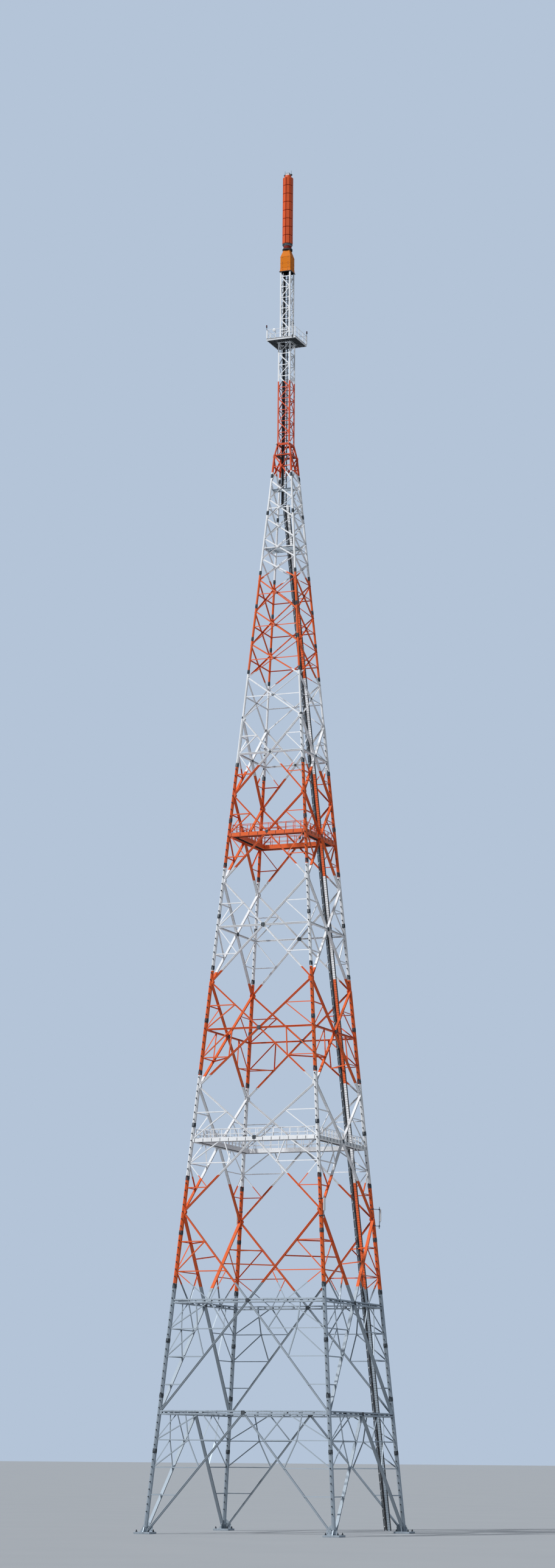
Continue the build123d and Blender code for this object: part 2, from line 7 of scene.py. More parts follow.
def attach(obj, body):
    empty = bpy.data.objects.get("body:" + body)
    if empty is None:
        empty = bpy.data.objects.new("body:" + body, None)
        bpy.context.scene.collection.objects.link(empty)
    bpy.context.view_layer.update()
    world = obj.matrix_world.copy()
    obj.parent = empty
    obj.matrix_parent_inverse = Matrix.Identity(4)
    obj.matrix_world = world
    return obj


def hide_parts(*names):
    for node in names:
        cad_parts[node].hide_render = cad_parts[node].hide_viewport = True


# Radio mast at 1:10. The sizes below are millimetres on the model, and mm() turns them to metres.
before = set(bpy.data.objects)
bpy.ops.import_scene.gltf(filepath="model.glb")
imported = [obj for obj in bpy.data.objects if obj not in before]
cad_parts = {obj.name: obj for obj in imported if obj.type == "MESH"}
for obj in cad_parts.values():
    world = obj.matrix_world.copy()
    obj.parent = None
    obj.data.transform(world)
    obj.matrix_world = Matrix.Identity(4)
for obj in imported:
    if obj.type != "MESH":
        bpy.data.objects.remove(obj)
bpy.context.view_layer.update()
print("radio mast: frame loaded")

tower = {"baseHalf": 1109, "neckHalf": 102, "neckLevel": 12490}
taper = (tower["baseHalf"] - tower["neckHalf"]) / tower["neckLevel"]
stretchOut = math.sqrt(1 + taper**2)
sideTurns = {"front": 0, "right": 90, "back": 180, "left": 270}
corners = {"front_left": (-1, -1), "front_right": (1, -1), "back_right": (1, 1), "back_left": (-1, 1)}
cornerTurns = dict(zip(corners, sideTurns.values()))
upwards = Vector((0, 0, 1))
toFront = Vector((0, -1, 0))
toRight = Vector((1, 0, 0))


def mm(value):
    return value / 1000


def half(level):
    return tower["baseHalf"] - taper * level


def point(x, y, z):
    return Vector((mm(x), mm(y), mm(z)))


# Finishes
def linear(hexColour):
    channels = [int(hexColour[i:i + 2], 16) / 255 for i in (1, 3, 5)]
    return [c / 12.92 if c <= 0.04045 else ((c + 0.055) / 1.055) ** 2.4 for c in channels] + [1]


def link(finish, source, node, socket):
    finish.node_tree.links.new(source, node.inputs[socket])


# A node with its settings; an input is another node's socket or a value
def addNode(finish, kind, inputs=None, **settings):
    node = finish.node_tree.nodes.new(kind)
    for name, value in settings.items():
        setattr(node, name, value)
    for socket, value in (inputs or {}).items():
        if isinstance(value, bpy.types.NodeSocket):
            link(finish, value, node, socket)
        else:
            node.inputs[socket].default_value = value
    return node


# A pattern's scale on Object coordinates, from the size of its marks in millimetres
def marks(size):
    return 1000 / size


def startFinish(name, shaderValues):
    finish = bpy.data.materials.new(name)
    finish.use_nodes = True
    shader = finish.node_tree.nodes["Principled BSDF"]
    for socket, value in shaderValues.items():
        shader.inputs[socket].default_value = value
    return finish, shader, addNode(finish, "ShaderNodeTexCoord").outputs["Object"]


# How much of its noise each kind of mark takes, and how ragged it is
weather = {
    "streak": {"from": 0.5, "to": 0.72, "detail": 5, "ragged": 0.6},
    "speck": {"from": 0.66, "to": 0.74, "detail": 6, "ragged": 0.7},
}


# Rain draws streaks down a surface, rust starts in specks, and dust lies in patches
def weathered(finish, place, colour, looks):
    drawn = (1, 1, looks["streakWidth"] / looks["streakLength"])
    run = addNode(finish, "ShaderNodeMapping", {"Vector": place, "Scale": drawn}).outputs[0]
    for mark, source in (("streak", run), ("speck", place)):
        kind = weather[mark]
        size = {"Vector": source, "Scale": marks(looks[mark + "Width"])}
        noise = addNode(finish, "ShaderNodeTexNoise", {**size, "Detail": kind["detail"], "Roughness": kind["ragged"]})
        reach = {"From Min": kind["from"], "From Max": kind["to"], "To Max": looks[mark + "Share"]}
        share = addNode(finish, "ShaderNodeMapRange", {"Value": noise.outputs[0], **reach}).outputs[0]
        tints = {0: share, 6: colour, 7: linear(looks[mark + "Colour"])}
        colour = addNode(finish, "ShaderNodeMix", tints, data_type="RGBA").outputs[2]
    size = {"Vector": place, "Scale": marks(looks["patchSize"])}
    patches = addNode(finish, "ShaderNodeTexNoise", {**size, "Detail": 3}).outputs[0]
    tones = {"From Min": 0.3, "From Max": 0.7, "To Min": looks["patchDark"], "To Max": looks["patchLight"]}
    shade = addNode(finish, "ShaderNodeMapRange", {"Value": patches, **tones}).outputs[0]
    return addNode(finish, "ShaderNodeHueSaturation", {"Value": shade, "Color": colour}).outputs[0]


# Fine unevenness of a coat, and a roughness that varies with it
def surfaced(finish, shader, place, looks):
    size = {"Vector": place, "Scale": marks(looks["grainSize"])}
    grain = addNode(finish, "ShaderNodeTexNoise", {**size, "Detail": 4}).outputs[0]
    reach = {"To Min": looks["roughLow"], "To Max": looks["roughHigh"]}
    rough = addNode(finish, "ShaderNodeMapRange", {"Value": grain, **reach})
    bump = addNode(finish, "ShaderNodeBump", {"Height": grain, "Strength": looks["bump"], "Distance": mm(1)})
    link(finish, rough.outputs[0], shader, "Roughness")
    link(finish, bump.outputs[0], shader, "Normal")


colours = {
    "zinc": "#A3AEB7",
    "darkZinc": "#3D4348",
    "orange": "#EB672D",
    "upperOrange": "#E0592F",
    "white": "#F1F3F6",
    "amber": "#E17C10",
    "radome": "#E05F31",
    "neckRed": "#7E2216",
    "black": "#1B1C1E",
    "aerial": "#DDE0E3",
    "lamp": "#5E1613",
    # The grey of the painted shade on undersides
    "shadeGrey": "#34393D",
}
# Brush marks are under a millimetre on the real steel and would vanish at 1:10, so the grain is
# drawn at 4 mm; the rain streaks are 30 mm wide and half a metre long on the model
enamelLooks = {
    "streakWidth": 30,
    "streakLength": 500,
    "streakShare": 0.2,
    "streakColour": "#8E8A86",
    "speckWidth": 18,
    "speckShare": 0.35,
    "speckColour": "#8A5A40",
    "patchSize": 310,
    "patchDark": 0.94,
    "patchLight": 1.05,
    "grainSize": 4,
    "roughLow": 0.42,
    "roughHigh": 0.62,
    "bump": 0.25,
}
zincLooks = {
    **enamelLooks,
    "streakWidth": 25,
    "streakShare": 0.5,
    "streakColour": "#6D757B",
    "speckShare": 0.2,
    "patchSize": 250,
    "patchDark": 0.82,
    "patchLight": 1.1,
}
# Gel coat comes smooth out of its mould, and only a fine orange peel of 6 mm is left to show
gelLooks = {
    **enamelLooks,
    "streakShare": 0.08,
    "speckShare": 0.05,
    "grainSize": 6,
    "roughLow": 0.3,
    "roughHigh": 0.42,
    "bump": 0.1,
}
# The amber cover has chalked in the sun, so it shines less
chalkLooks = {**gelLooks, "roughLow": 0.55, "roughHigh": 0.7}
rubberLooks = {**zincLooks, "streakShare": 0.25, "speckShare": 0, "roughLow": 0.55, "roughHigh": 0.75}
glassLooks = {**gelLooks, "roughLow": 0.08, "roughHigh": 0.15}
enamelShine = {"IOR": 1.5, "Specular IOR Level": 0.25}
# Warning bands by height: each band runs up from its level
paintBands = {
    0: "zinc",
    2678: "orange",
    3876: "white",
    5058: "orange",
    6256: "white",
    7463: "orange",
    8652: "white",
    9782: "orange",
    10994: "white",
    12245: "upperOrange",
    13385: "white",
}
bandTop = 16200


def makeBandedEnamel(name):
    finish, shader, place = startFinish(name, enamelShine)
    height = addNode(finish, "ShaderNodeSeparateXYZ", {"Vector": place}).outputs["Z"]
    share = addNode(finish, "ShaderNodeMapRange", {"Value": height, "From Max": mm(bandTop)}).outputs[0]
    bands = addNode(finish, "ShaderNodeValToRGB", {"Fac": share})
    bands.color_ramp.interpolation = "CONSTANT"
    stops = bands.color_ramp.elements
    stops.remove(stops[1])
    for level, colour in paintBands.items():
        stop = stops[0] if level == 0 else stops.new(level / bandTop)
        stop.position = level / bandTop
        stop.color = linear(colours[colour])
    # Below the first band the zinc is bare, so it is partly metallic there
    edge = list(paintBands)[1]
    reach = {"From Min": mm(edge - 1), "From Max": mm(edge + 1), "To Min": 0.4, "To Max": 0}
    bare = addNode(finish, "ShaderNodeMapRange", {"Value": height, **reach})
    link(finish, bare.outputs[0], shader, "Metallic")
    link(finish, weathered(finish, place, bands.outputs[0], enamelLooks), shader, "Base Color")
    surfaced(finish, shader, place, enamelLooks)
    return finish


def makeCoat(name, colour, looks, shaderValues):
    finish, shader, place = startFinish(name, shaderValues)
    link(finish, weathered(finish, place, linear(colours[colour]), looks), shader, "Base Color")
    surfaced(finish, shader, place, looks)
    return finish


spangleSize = 11


def makeZinc(name, colour, metallic):
    finish, shader, place = startFinish(name, {"Metallic": metallic})
    size = {"Vector": place, "Scale": marks(spangleSize)}
    spangles = addNode(finish, "ShaderNodeTexVoronoi", size).outputs["Color"]
    tone = addNode(finish, "ShaderNodeMapRange", {"Value": spangles, "To Min": 0.85, "To Max": 1.1}).outputs[0]
    toned = addNode(finish, "ShaderNodeHueSaturation", {"Color": linear(colours[colour]), "Value": tone})
    link(finish, weathered(finish, place, toned.outputs[0], zincLooks), shader, "Base Color")
    surfaced(finish, shader, place, zincLooks)
    return finish


finishes = {
    # Alkyd enamel, brushed over zinc in bands: satin, sharp band edges, pale and dark rain streaks
    "bands": makeBandedEnamel("brushed alkyd enamel in bands"),
    # Steel dipped in zinc: pale blue-grey, spangles 10 mm across on the real steel and drawn as
    # large here so that they show, dulled in streaks
    "zinc": makeZinc("hot-dip galvanised steel", "zinc", 0.45),
    # The same zinc on bolted joints: much darker from grease and handling, little shine left
    "darkZinc": makeZinc("greased galvanised steel", "darkZinc", 0.35),
    # White alkyd enamel, brushed: chalky off-white with a few rust specks
    "whiteEnamel": makeCoat("brushed white enamel", "white", enamelLooks, enamelShine),
    # Orange alkyd enamel, brushed: warm, slightly faded where the rain runs down
    "orangeEnamel": makeCoat("brushed orange enamel", "orange", enamelLooks, enamelShine),
    # Dark brick red on the antenna's neck, flat: a red paint, darkened as painted shade for the shade under the
    # panels
    "neckRed": makeCoat("dark red paint with painted shade", "neckRed", rubberLooks, {"IOR": 1.5, "Specular IOR Level": 0.2}),
    # Glass-fibre polyester with an amber gel coat, moulded: smooth, chalked to a dull sheen
    "amberCover": makeCoat("moulded amber gel coat", "amber", chalkLooks, {"IOR": 1.48, "Specular IOR Level": 0.15}),
    # The same with an orange-red gel coat on the radomes: smooth, with a soft sheen
    "radome": makeCoat("moulded orange gel coat", "radome", gelLooks, {"IOR": 1.48, "Specular IOR Level": 0.3}),
    # Black polyethylene cable sheath, extruded: dull, with grey dust
    "sheath": makeCoat("extruded black polyethylene", "black", rubberLooks, {"IOR": 1.52}),
    # Painted shade on the undersides of decks, the bars below them and the faces inside wells: a flat, nearly black
    # grey standing in for the shade that falls there
    "paintedShade": makeCoat("flat dark grey painted shade", "shadeGrey", rubberLooks, {"IOR": 1.5}),
    # Pale polyester radome, moulded: smooth off-white with little shine
    "aerial": makeCoat("moulded pale polyester", "aerial", gelLooks, {"IOR": 1.48}),
    # Red polycarbonate lens, moulded: glossy and dark when unlit
    "lamp": makeCoat("moulded red polycarbonate", "lamp", glassLooks, {"IOR": 1.58, "Coat Weight": 0.5}),
}
print("radio mast: finishes made")


# Modelling helpers
def leaveEdit():
    bpy.ops.object.mode_set(mode="OBJECT")


def deselectAll():
    if bpy.context.object and bpy.context.object.mode != "OBJECT":
        leaveEdit()
    bpy.ops.object.select_all(action="DESELECT")


def pick(piece):
    deselectAll()
    piece.select_set(True)
    bpy.context.view_layer.objects.active = piece


def applyPlace(piece):
    pick(piece)
    bpy.ops.object.transform_apply(location=True, rotation=True, scale=True)


def applyModifier(piece, kind, **settings):
    pick(piece)
    modifier = piece.modifiers.new(kind.title(), kind)
    for name, value in settings.items():
        setattr(modifier, name, value)
    bpy.ops.object.modifier_apply(modifier=modifier.name)


def startEdit(piece, mode):
    pick(piece)
    bpy.ops.object.mode_set(mode="EDIT")
    bpy.ops.mesh.select_mode(type=mode)
    bpy.ops.mesh.select_all(action="DESELECT")
    leaveEdit()


# Selects the edges whose two ends pass a test, and leaves the piece in edit mode
def editEdges(piece, test):
    startEdit(piece, "EDGE")
    for edge in piece.data.edges:
        edge.select = test(*[piece.data.vertices[i].co for i in edge.vertices])
    bpy.ops.object.mode_set(mode="EDIT")


# The same for the faces whose normal passes a test
def editFaces(piece, test):
    startEdit(piece, "FACE")
    for face in piece.data.polygons:
        face.select = test(face.normal)
    bpy.ops.object.mode_set(mode="EDIT")


def coloured(piece, name, finish):
    piece.name = name
    piece.data.materials.clear()
    piece.data.materials.append(finishes[finish])
    return piece


# A block with chamfered edges, by its size and centre
def makeBlock(name, size, centre, finish, chamfer=1):
    deselectAll()
    bpy.ops.mesh.primitive_cube_add(size=1, location=point(*centre))
    block = bpy.context.object
    block.scale = point(*size)
    applyPlace(block)
    if chamfer:
        applyModifier(block, "BEVEL", width=mm(chamfer), segments=1, limit_method="NONE")
    return coloured(block, name, finish)


# A round bar between two points
def makeTube(name, radius, start, end, finish, sides=12, topRadius=None):
    start, end = point(*start), point(*end)
    deselectAll()
    bpy.ops.mesh.primitive_cone_add(
        vertices=sides,
        radius1=mm(radius),
        radius2=mm(radius if topRadius is None else topRadius),
        depth=(end - start).length,
        location=(start + end) / 2,
        rotation=(end - start).to_track_quat("Z", "Y").to_euler(),
    )
    tube = bpy.context.object
    applyPlace(tube)
    bpy.ops.object.shade_smooth_by_angle(angle=math.radians(40))
    return coloured(tube, name, finish)


def makeUpright(name, radius, x, y, low, high, finish, sides=12, topRadius=None):
    return makeTube(name, radius, (x, y, low), (x, y, high), finish, sides, topRadius)


# Rolled sections one metre long, from X = 0, which are stretched to each bar's length
def makeStrip(width, **turn):
    deselectAll()
    bpy.ops.mesh.primitive_plane_add(size=1, location=(0.5, 0, 0), **turn)
    strip = bpy.context.object
    strip.scale = (1, mm(width), 1)
    applyPlace(strip)
    return strip


def makeChannel(name, web, flange, wall, finish):
    channel = makeStrip(web, rotation=(math.pi / 2, 0, 0))
    for side in (-1, 1):
        editEdges(channel, lambda a, b: min(a.z * side, b.z * side) > 0 and abs(a.y) + abs(b.y) < mm(0.1))
        bpy.ops.mesh.extrude_edges_move(TRANSFORM_OT_translate={"value": (0, mm(flange), 0)})
        leaveEdit()
    applyModifier(channel, "SOLIDIFY", thickness=mm(wall), offset=0)
    return coloured(channel, name, finish)


def makeAngle(name, across, deep, wall, finish):
    angle = makeStrip(across)
    editEdges(angle, lambda a, b: min(a.y, b.y) > 0)
    bpy.ops.mesh.extrude_edges_move(TRANSFORM_OT_translate={"value": (0, 0, -mm(deep))})
    leaveEdit()
    applyModifier(angle, "SOLIDIFY", thickness=mm(wall), offset=0)
    return coloured(angle, name, finish)


def makeRod(name, radius, finish, sides=8):
    return makeTube(name, radius, (0, 0, 0), (1000, 0, 0), finish, sides)


def makeFlat(name, width, thick, finish, middle=0):
    return makeBlock(name, (1000, width, thick), (500, 0, middle), finish, 0)


def copyOf(source, matrix):
    piece = source.copy()
    piece.data = source.data.copy()
    piece.data.transform(matrix)
    bpy.context.collection.objects.link(piece)
    return piece


def framed(*columns):
    return Matrix([[column[row] for column in columns] for row in range(3)] + [[0, 0, 0, 1]])


# A section between two points, its outer face turned to the given direction
def barBetween(source, start, end, facing, shift=0, flip=False):
    along = (end - start).normalized()
    across = facing.cross(along).normalized()
    deep, hand = along.cross(across), -1 if flip else 1
    return copyOf(source, framed(end - start, across * hand, deep * hand, start + across * mm(shift)))


# A fitting at a point: its X along the bar, its Z turned to the given direction
def fittingAt(source, centre, along, facing):
    along = along.normalized()
    across = facing.cross(along).normalized()
    return copyOf(source, framed(along, across, along.cross(across), centre))


def joinPieces(parts, name):
    deselectAll()
    for part in parts:
        part.select_set(True)
    bpy.context.view_layer.objects.active = parts[0]
    if len(parts) > 1:
        bpy.ops.object.join()
    parts[0].name = parts[0].data.name = name
    return parts[0]


def turned(source, name, degrees):
    piece = copyOf(source, Matrix.Rotation(math.radians(degrees), 4, "Z"))
    piece.name = name
    return piece


def dropSources(*sources):
    for source in sources:
        bpy.data.objects.remove(source)


# One quarter of a piece, copied to the other three sides or corners
def fourTimes(parts, name):
    quarter = joinPieces(parts, name)
    quarters = [turned(quarter, name, turn) for turn in sideTurns.values()]
    dropSources(quarter)
    return joinPieces(quarters, name)


def placePiece(parts, name, node):
    piece = joinPieces(parts, name)
    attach(piece, "root")
    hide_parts(node)


# Hexagonal bolt heads, or nuts, on a plate that faces +Z
def makeBolts(spots, radius, height, base, finish):
    return [makeUpright("bolt", radius, x, y, base, base + height, finish, 6) for x, y in spots]


# A side of the tower leans back with the legs; places on it are (across, level)
sideFacing = Vector((0, -1, taper)).normalized()
sideUp = Vector((0, taper, 1)).normalized()


def onSide(spot, out=0):
    across, level = spot
    return point(across, -half(level), level) + sideFacing * mm(out)


plates = {
    "crossSizes": {"large": 44, "middle": 34, "small": 25},
    "crossThick": 5,
    "cornerCut": 0.14,
    "boltCircle": 0.31,
    "boltHeight": 3.5,
    "nodeSize": (22, 16, 3),
    "nodeBolt": (2.6, 2.5),
    "jointSize": (20, 46, 4),
    "jointBolt": (2.4, 2.4),
    "ringSize": (40, 26, 3),
    "gussetSize": (84, 104, 8),
    "gussetFoot": 20,
}


# Plates over the crossings: square with cut corners, and a ring of bolt heads
def makeCrossPlate(size):
    thick = plates["crossThick"]
    plate = makeBlock("cross plate", (size, size, thick), (0, 0, 0), "darkZinc", 0)
    editEdges(plate, lambda a, b: abs(a.z - b.z) > mm(1))
    bpy.ops.mesh.bevel(offset=mm(size * plates["cornerCut"]), segments=1)
    leaveEdit()
    reach = size * plates["boltCircle"]
    full = size == max(plates["crossSizes"].values())
    spots = [(x * reach, y * reach) for x in (-1, 0, 1) for y in (-1, 0, 1) if (full and (x or y)) or x * y]
    bolts = makeBolts(spots, size / 15, plates["boltHeight"], thick / 2, "darkZinc")
    return joinPieces([plate] + bolts, "cross plate")


def makeNodePlate():
    plate = makeBlock("node plate", plates["nodeSize"], (0, 0, 0), "bands", 0.8)
    return joinPieces([plate] + makeBolts([(-6, 0), (6, 0)], *plates["nodeBolt"], 1.5, "darkZinc"), "node plate")


# The plate on a leg takes two diagonals: a long plate with its two inner corners cut back
def makeJointPlate():
    width, length, thick = plates["jointSize"]
    plate = makeBlock("joint plate", plates["jointSize"], (width / 2, 0, 0), "bands", 0)
    editEdges(plate, lambda a, b: min(a.x, b.x) > mm(width - 1) and abs(a.z - b.z) > mm(1))
    bpy.ops.mesh.bevel(offset=mm(width * 0.6), segments=1)
    leaveEdit()
    spots = [(width * 0.4, y * length) for y in (-0.25, 0, 0.25)]
    return joinPieces([plate] + makeBolts(spots, *plates["jointBolt"], thick / 2, "bands"), "joint plate")


# The gusset at a foot takes a base diagonal: its upper corner on the inside is cut along the bar
def makeFootGusset():
    width, height, thick = plates["gussetSize"]
    gusset = makeBlock("foot gusset", plates["gussetSize"], (0, 0, 0), "zinc", 0)
    editEdges(gusset, lambda a, b: max(a.x, b.x) < 0 and min(a.y, b.y) > 0)
    bpy.ops.mesh.bevel(offset=mm(width * 0.55), segments=1)
    leaveEdit()
    spots = [(-width * 0.2, -height * 0.1), (0, height * 0.12), (-width * 0.36, -height * 0.3)]
    return joinPieces([gusset] + makeBolts(spots, 3, thick + 10, -thick / 2 - 5, "darkZinc"), "foot gusset")


sections = {
    "twinWeb": 34,
    "slimTwinWeb": 27,
    "twinFlange": 3.8,
    "twinWidth": 16,
    "deepFlange": 15,
    "deepWidth": 46,
    "wall": 1.6,
    "fascia": (37, 24, 2),
    "battenPitch": 170,
    "middleWeb": (14, 3),
    "batten": (16, 43, 30),
    "stiffener": (4, 34, 5),
    # Angles: width, depth and wall
    "strut": (10, 13, 1.6),
    "wideSlim": (15, 14, 2),
    "slim": (9, 14, 2),
}
web, wall = sections["twinWeb"], sections["wall"]
kit = {
    "twin": makeChannel("twin channel", web, sections["twinFlange"], wall, "bands"),
    "slimTwin": makeChannel("slim twin channel", sections["slimTwinWeb"], sections["twinFlange"], wall, "bands"),
    "deep": makeChannel("deep channel", web, sections["deepFlange"], wall, "zinc"),
    "fascia": makeChannel("fascia channel", *sections["fascia"], "bands"),
    "strut": makeAngle("strut angle", *sections["strut"], "bands"),
    "wideSlim": makeAngle("wide slim angle", *sections["wideSlim"], "bands"),
    "slim": makeAngle("slim angle", *sections["slim"], "bands"),
    "web": makeFlat("middle web", *sections["middleWeb"], "bands"),
    "deepBatten": makeBlock("deep batten", sections["batten"], (0, 0, 0), "zinc", 0.5),
    "ringPlate": makeBlock("ring plate", plates["ringSize"], (0, 0, 0), "zinc", 0.8),
    # The fascia stiffeners are dark zinc as painted shade: the shade along their sides and in the gaps between them
    "stiffener": makeBlock("fascia stiffener", sections["stiffener"], (0, 0, 0), "darkZinc", 0.6),
    "nodePlate": makeNodePlate(),
    "jointPlate": makeJointPlate(),
    "footGusset": makeFootGusset(),
}
for sizeName, size in plates["crossSizes"].items():
    kit[sizeName + "Plate"] = makeCrossPlate(size)


# Two channels face to face
def channelPair(section, width, start, end, facing):
    shift = (width - wall) / 2
    return [barBetween(kit[section], start, end, facing, hand * shift, hand > 0) for hand in (1, -1)]


# The pair on a diagonal or a ring is closed by a web in the middle of its depth
def twinBar(section, width, start, end, facing):
    return channelPair(section, width, start, end, facing) + [barBetween(kit["web"], start, end, facing)]


# The wide pair on a deep ring is held by battens
def deepBar(start, end, facing):
    parts = channelPair("deep", sections["deepWidth"], start, end, facing)
    run = end - start
    count = round(run.length / mm(sections["battenPitch"]))
    return parts + [fittingAt(kit["deepBatten"], start + run * step / count, run, facing) for step in range(1, count)]


# Bracing patterns: bars between (across, level) places in the right half of a side
def onLeg(level):
    return (half(level), level)


def onDiagonal(ring, joint, level):
    return (half(joint) * (level - ring) / (joint - ring), level)


def shortStruts(ring, joint):
    level = (ring + joint) / 2
    inner = onDiagonal(ring, joint, level)
    return [(inner, onLeg(level)), (inner, onLeg(ring))]


def hungStruts(ring, joint):
    level = (ring + joint) / 2
    inner = onDiagonal(ring, joint, level)
    hanger = (half(ring) / 2, ring)
    return [(inner, onLeg(level)), (hanger, inner), (hanger, onLeg(level))]


def thirdStruts(ring, joint):
    near, far = ring + (joint - ring) / 3, ring + (joint - ring) * 2 / 3
    nearInner, farInner = onDiagonal(ring, joint, near), onDiagonal(ring, joint, far)
    hanger = (half(ring) / 2, ring)
    bars = [(nearInner, onLeg(near)), (farInner, onLeg(far)), (farInner, onLeg(near))]
    return bars + [(hanger, onLeg(near)), (hanger, nearInner)]


deep = {"baseStep": 296, "lowerStep": 304.5, "hangerShare": 0.5, "stayShare": 0.69, "footLevel": 44}


def deepStruts(ring, joint):
    step = deep["baseStep"] if joint == 0 else deep["lowerStep"]
    levels = [ring - step * count for count in (1, 2, 3)]
    inner = [onDiagonal(ring, joint, level) for level in levels]
    outer = [onLeg(level) for level in levels]
    middle = ((inner[0][0] + outer[0][0]) / 2, levels[0])
    hanger, stay = ((half(ring) * deep[share], ring) for share in ("hangerShare", "stayShare"))
    bars = list(zip(inner, outer))
    bars += [(hanger, inner[0]), (hanger, outer[0]), (stay, middle)]
    return bars + [(middle, inner[1]), (middle, outer[1])]


# Each bay: the level where its diagonals cross, the level of its joint on the leg, and its struts.
# A corner tie joins the diagonals of two neighbouring sides in a bay, and a fascia has bays of its own.
sideStretches = {
    "base": {"bays": [(1308, 0, deepStruts)], "deepRings": [1308], "legWidth": 46, "section": "twin"},
    "lower": {
        "bays": [(2526, 1308, deepStruts), (2526, 3517, thirdStruts)],
        "deepRings": [2526],
        "joints": [1308, 3517],
        "cornerTies": [(2526, 3517, 3021), (2526, 3517, 3187)],
        "legWidth": 46,
        "section": "twin",
    },
    "middle": {
        "bays": [
            (4337, 3517, thirdStruts),
            (4337, 4938, shortStruts),
            (5586, 4938, hungStruts),
            (5586, 6135, shortStruts),
        ],
        "fascias": {4337: 14},
        "rings": [5586],
        "joints": [4938, 6135],
        "cornerTies": [(5586, 4938, 5262)],
        "legWidth": 42,
        "section": "slimTwin",
    },
    "upper": {
        "bays": [
            (6775, 6135, shortStruts),
            (6775, 7316, shortStruts),
            (7871, 7316, shortStruts),
            (7871, 8327, shortStruts),
            (8822, 8327, shortStruts),
            (8822, 9245, shortStruts),
        ],
        "fascias": {7871: 8},
        "rings": [6775, 8822],
        "joints": [7316, 8327, 9245],
        "legWidth": 36,
        "section": "slimTwin",
    },
}
crossPlateAt = {7871: "middlePlate", 8822: "smallPlate"}
fascia = {"drop": 17, "out": 16, "stiffenerInset": 34}
# How far bars and plates lie out from the side's middle plane, and the gaps left at their ends
fitting = {"strutOut": 7, "nodeOut": 9, "ringOut": 19.5, "strutGap": 4, "crossGap": 10, "legShare": 0.35}


def trimmed(start, end, startTrim, endTrim):
    along = (end - start).normalized()
    return start + along * mm(startTrim), end - along * mm(endTrim)


def acrossSide(level, trim, out=0):
    return trimmed(onSide((-half(level), level), out), onSide(onLeg(level), out), trim, trim)


def bothFaces(source, spot, out, along):
    return [fittingAt(source, onSide(spot, out * hand), along, sideFacing * hand) for hand in (1, -1)]


def makeStruts(bars, hand, legTrim):
    parts, plated = [], set()
    for first, last in bars:
        ends = [onSide((hand * across, level), fitting["strutOut"]) for across, level in (first, last)]
        atLeg, gap = abs(last[0] - half(last[1])) < 1, fitting["strutGap"]
        ends = trimmed(*ends, gap, legTrim if atLeg else gap)
        parts.append(barBetween(kit["strut"], *ends, sideFacing))
        if first not in plated:
            plated.add(first)
            spot = onSide((hand * first[0], first[1]), fitting["nodeOut"])
            parts.append(fittingAt(kit["nodePlate"], spot, ends[1] - ends[0], sideFacing))
    return parts


def makeBay(bay, section, trim, hand):
    ring, joint, struts = bay
    across, low = onDiagonal(ring, joint, joint or deep["footLevel"])
    ends = trimmed(onSide((0, ring)), onSide((hand * across, low)), fitting["crossGap"], trim if joint else 0)
    parts = twinBar(section, sections["twinWidth"], *ends, sideFacing) + makeStruts(struts(ring, joint), hand, trim)
    if not joint:
        width, height, _ = plates["gussetSize"]
        middle = plates["gussetFoot"] + height / 2
        spot = onSide((hand * (half(middle) - width / 2), middle))
        parts.append(fittingAt(kit["footGusset"], spot, toRight * hand, sideFacing * hand))
    return parts


def makeFascia(level, bays, trim):
    low, reach = level - fascia["drop"], half(level) - fascia["stiffenerInset"]
    parts = [barBetween(kit["fascia"], *acrossSide(low, trim, fascia["out"]), sideUp)]
    for step in range(bays + 1):
        spot = onSide((-reach + 2 * reach * step / bays, low), fascia["out"] + 2)
        parts.append(fittingAt(kit["stiffener"], spot, toRight, sideFacing))
    return parts


def makeSideStretch(name, stretch):
    parts = []
    trim, section = stretch["legWidth"] * fitting["legShare"], stretch["section"]
    face = sections[section + "Web"] / 2
    for hand in (-1, 1):
        for bay in stretch["bays"]:
            parts += makeBay(bay, section, trim, hand)
        for joint in stretch.get("joints", []):
            parts += bothFaces(kit["jointPlate"], (hand * (half(joint) - trim), joint), face + 1.5, toRight * -hand)
        for ring in stretch.get("deepRings", []):
            spot = (hand * half(ring) * deep["hangerShare"], ring)
            parts += bothFaces(kit["ringPlate"], spot, fitting["ringOut"], toRight)
    for ring in stretch.get("deepRings", []):
        parts += deepBar(*acrossSide(ring, trim), sideFacing)
    for ring in stretch.get("rings", []):
        parts += twinBar(section, sections["twinWidth"] + 2, *acrossSide(ring, trim), sideFacing)
    for level, bays in stretch.get("fascias", {}).items():
        parts += makeFascia(level, bays, trim)
    for ring in sorted({bay[0] for bay in stretch["bays"]}):
        parts += bothFaces(kit[crossPlateAt.get(ring, "largePlate")], (0, ring), face + 2.5, toRight)
    for ring, joint, level in stretch.get("cornerTies", []):
        across = onDiagonal(ring, joint, level)[0]
        start, end = point(across, -half(level), level), point(half(level), -across, level)
        parts.append(barBetween(kit["strut"], start, end, upwards))
    return joinPieces(parts, name)


middlePanels = [9245, 9746, 10149, 10554, 10943]
shortPanels = [10943, 11200, 11451, 11699, 11938, 12171, 12490]
topBars = {"out": 7, "gap": 9, "crossOut": 9.5, "levelOut": 5, "nodeInset": 12, "nodeOut": 8.5}


def crossingLevel(low, high):
    return low + (high - low) * half(low) / (half(low) + half(high))


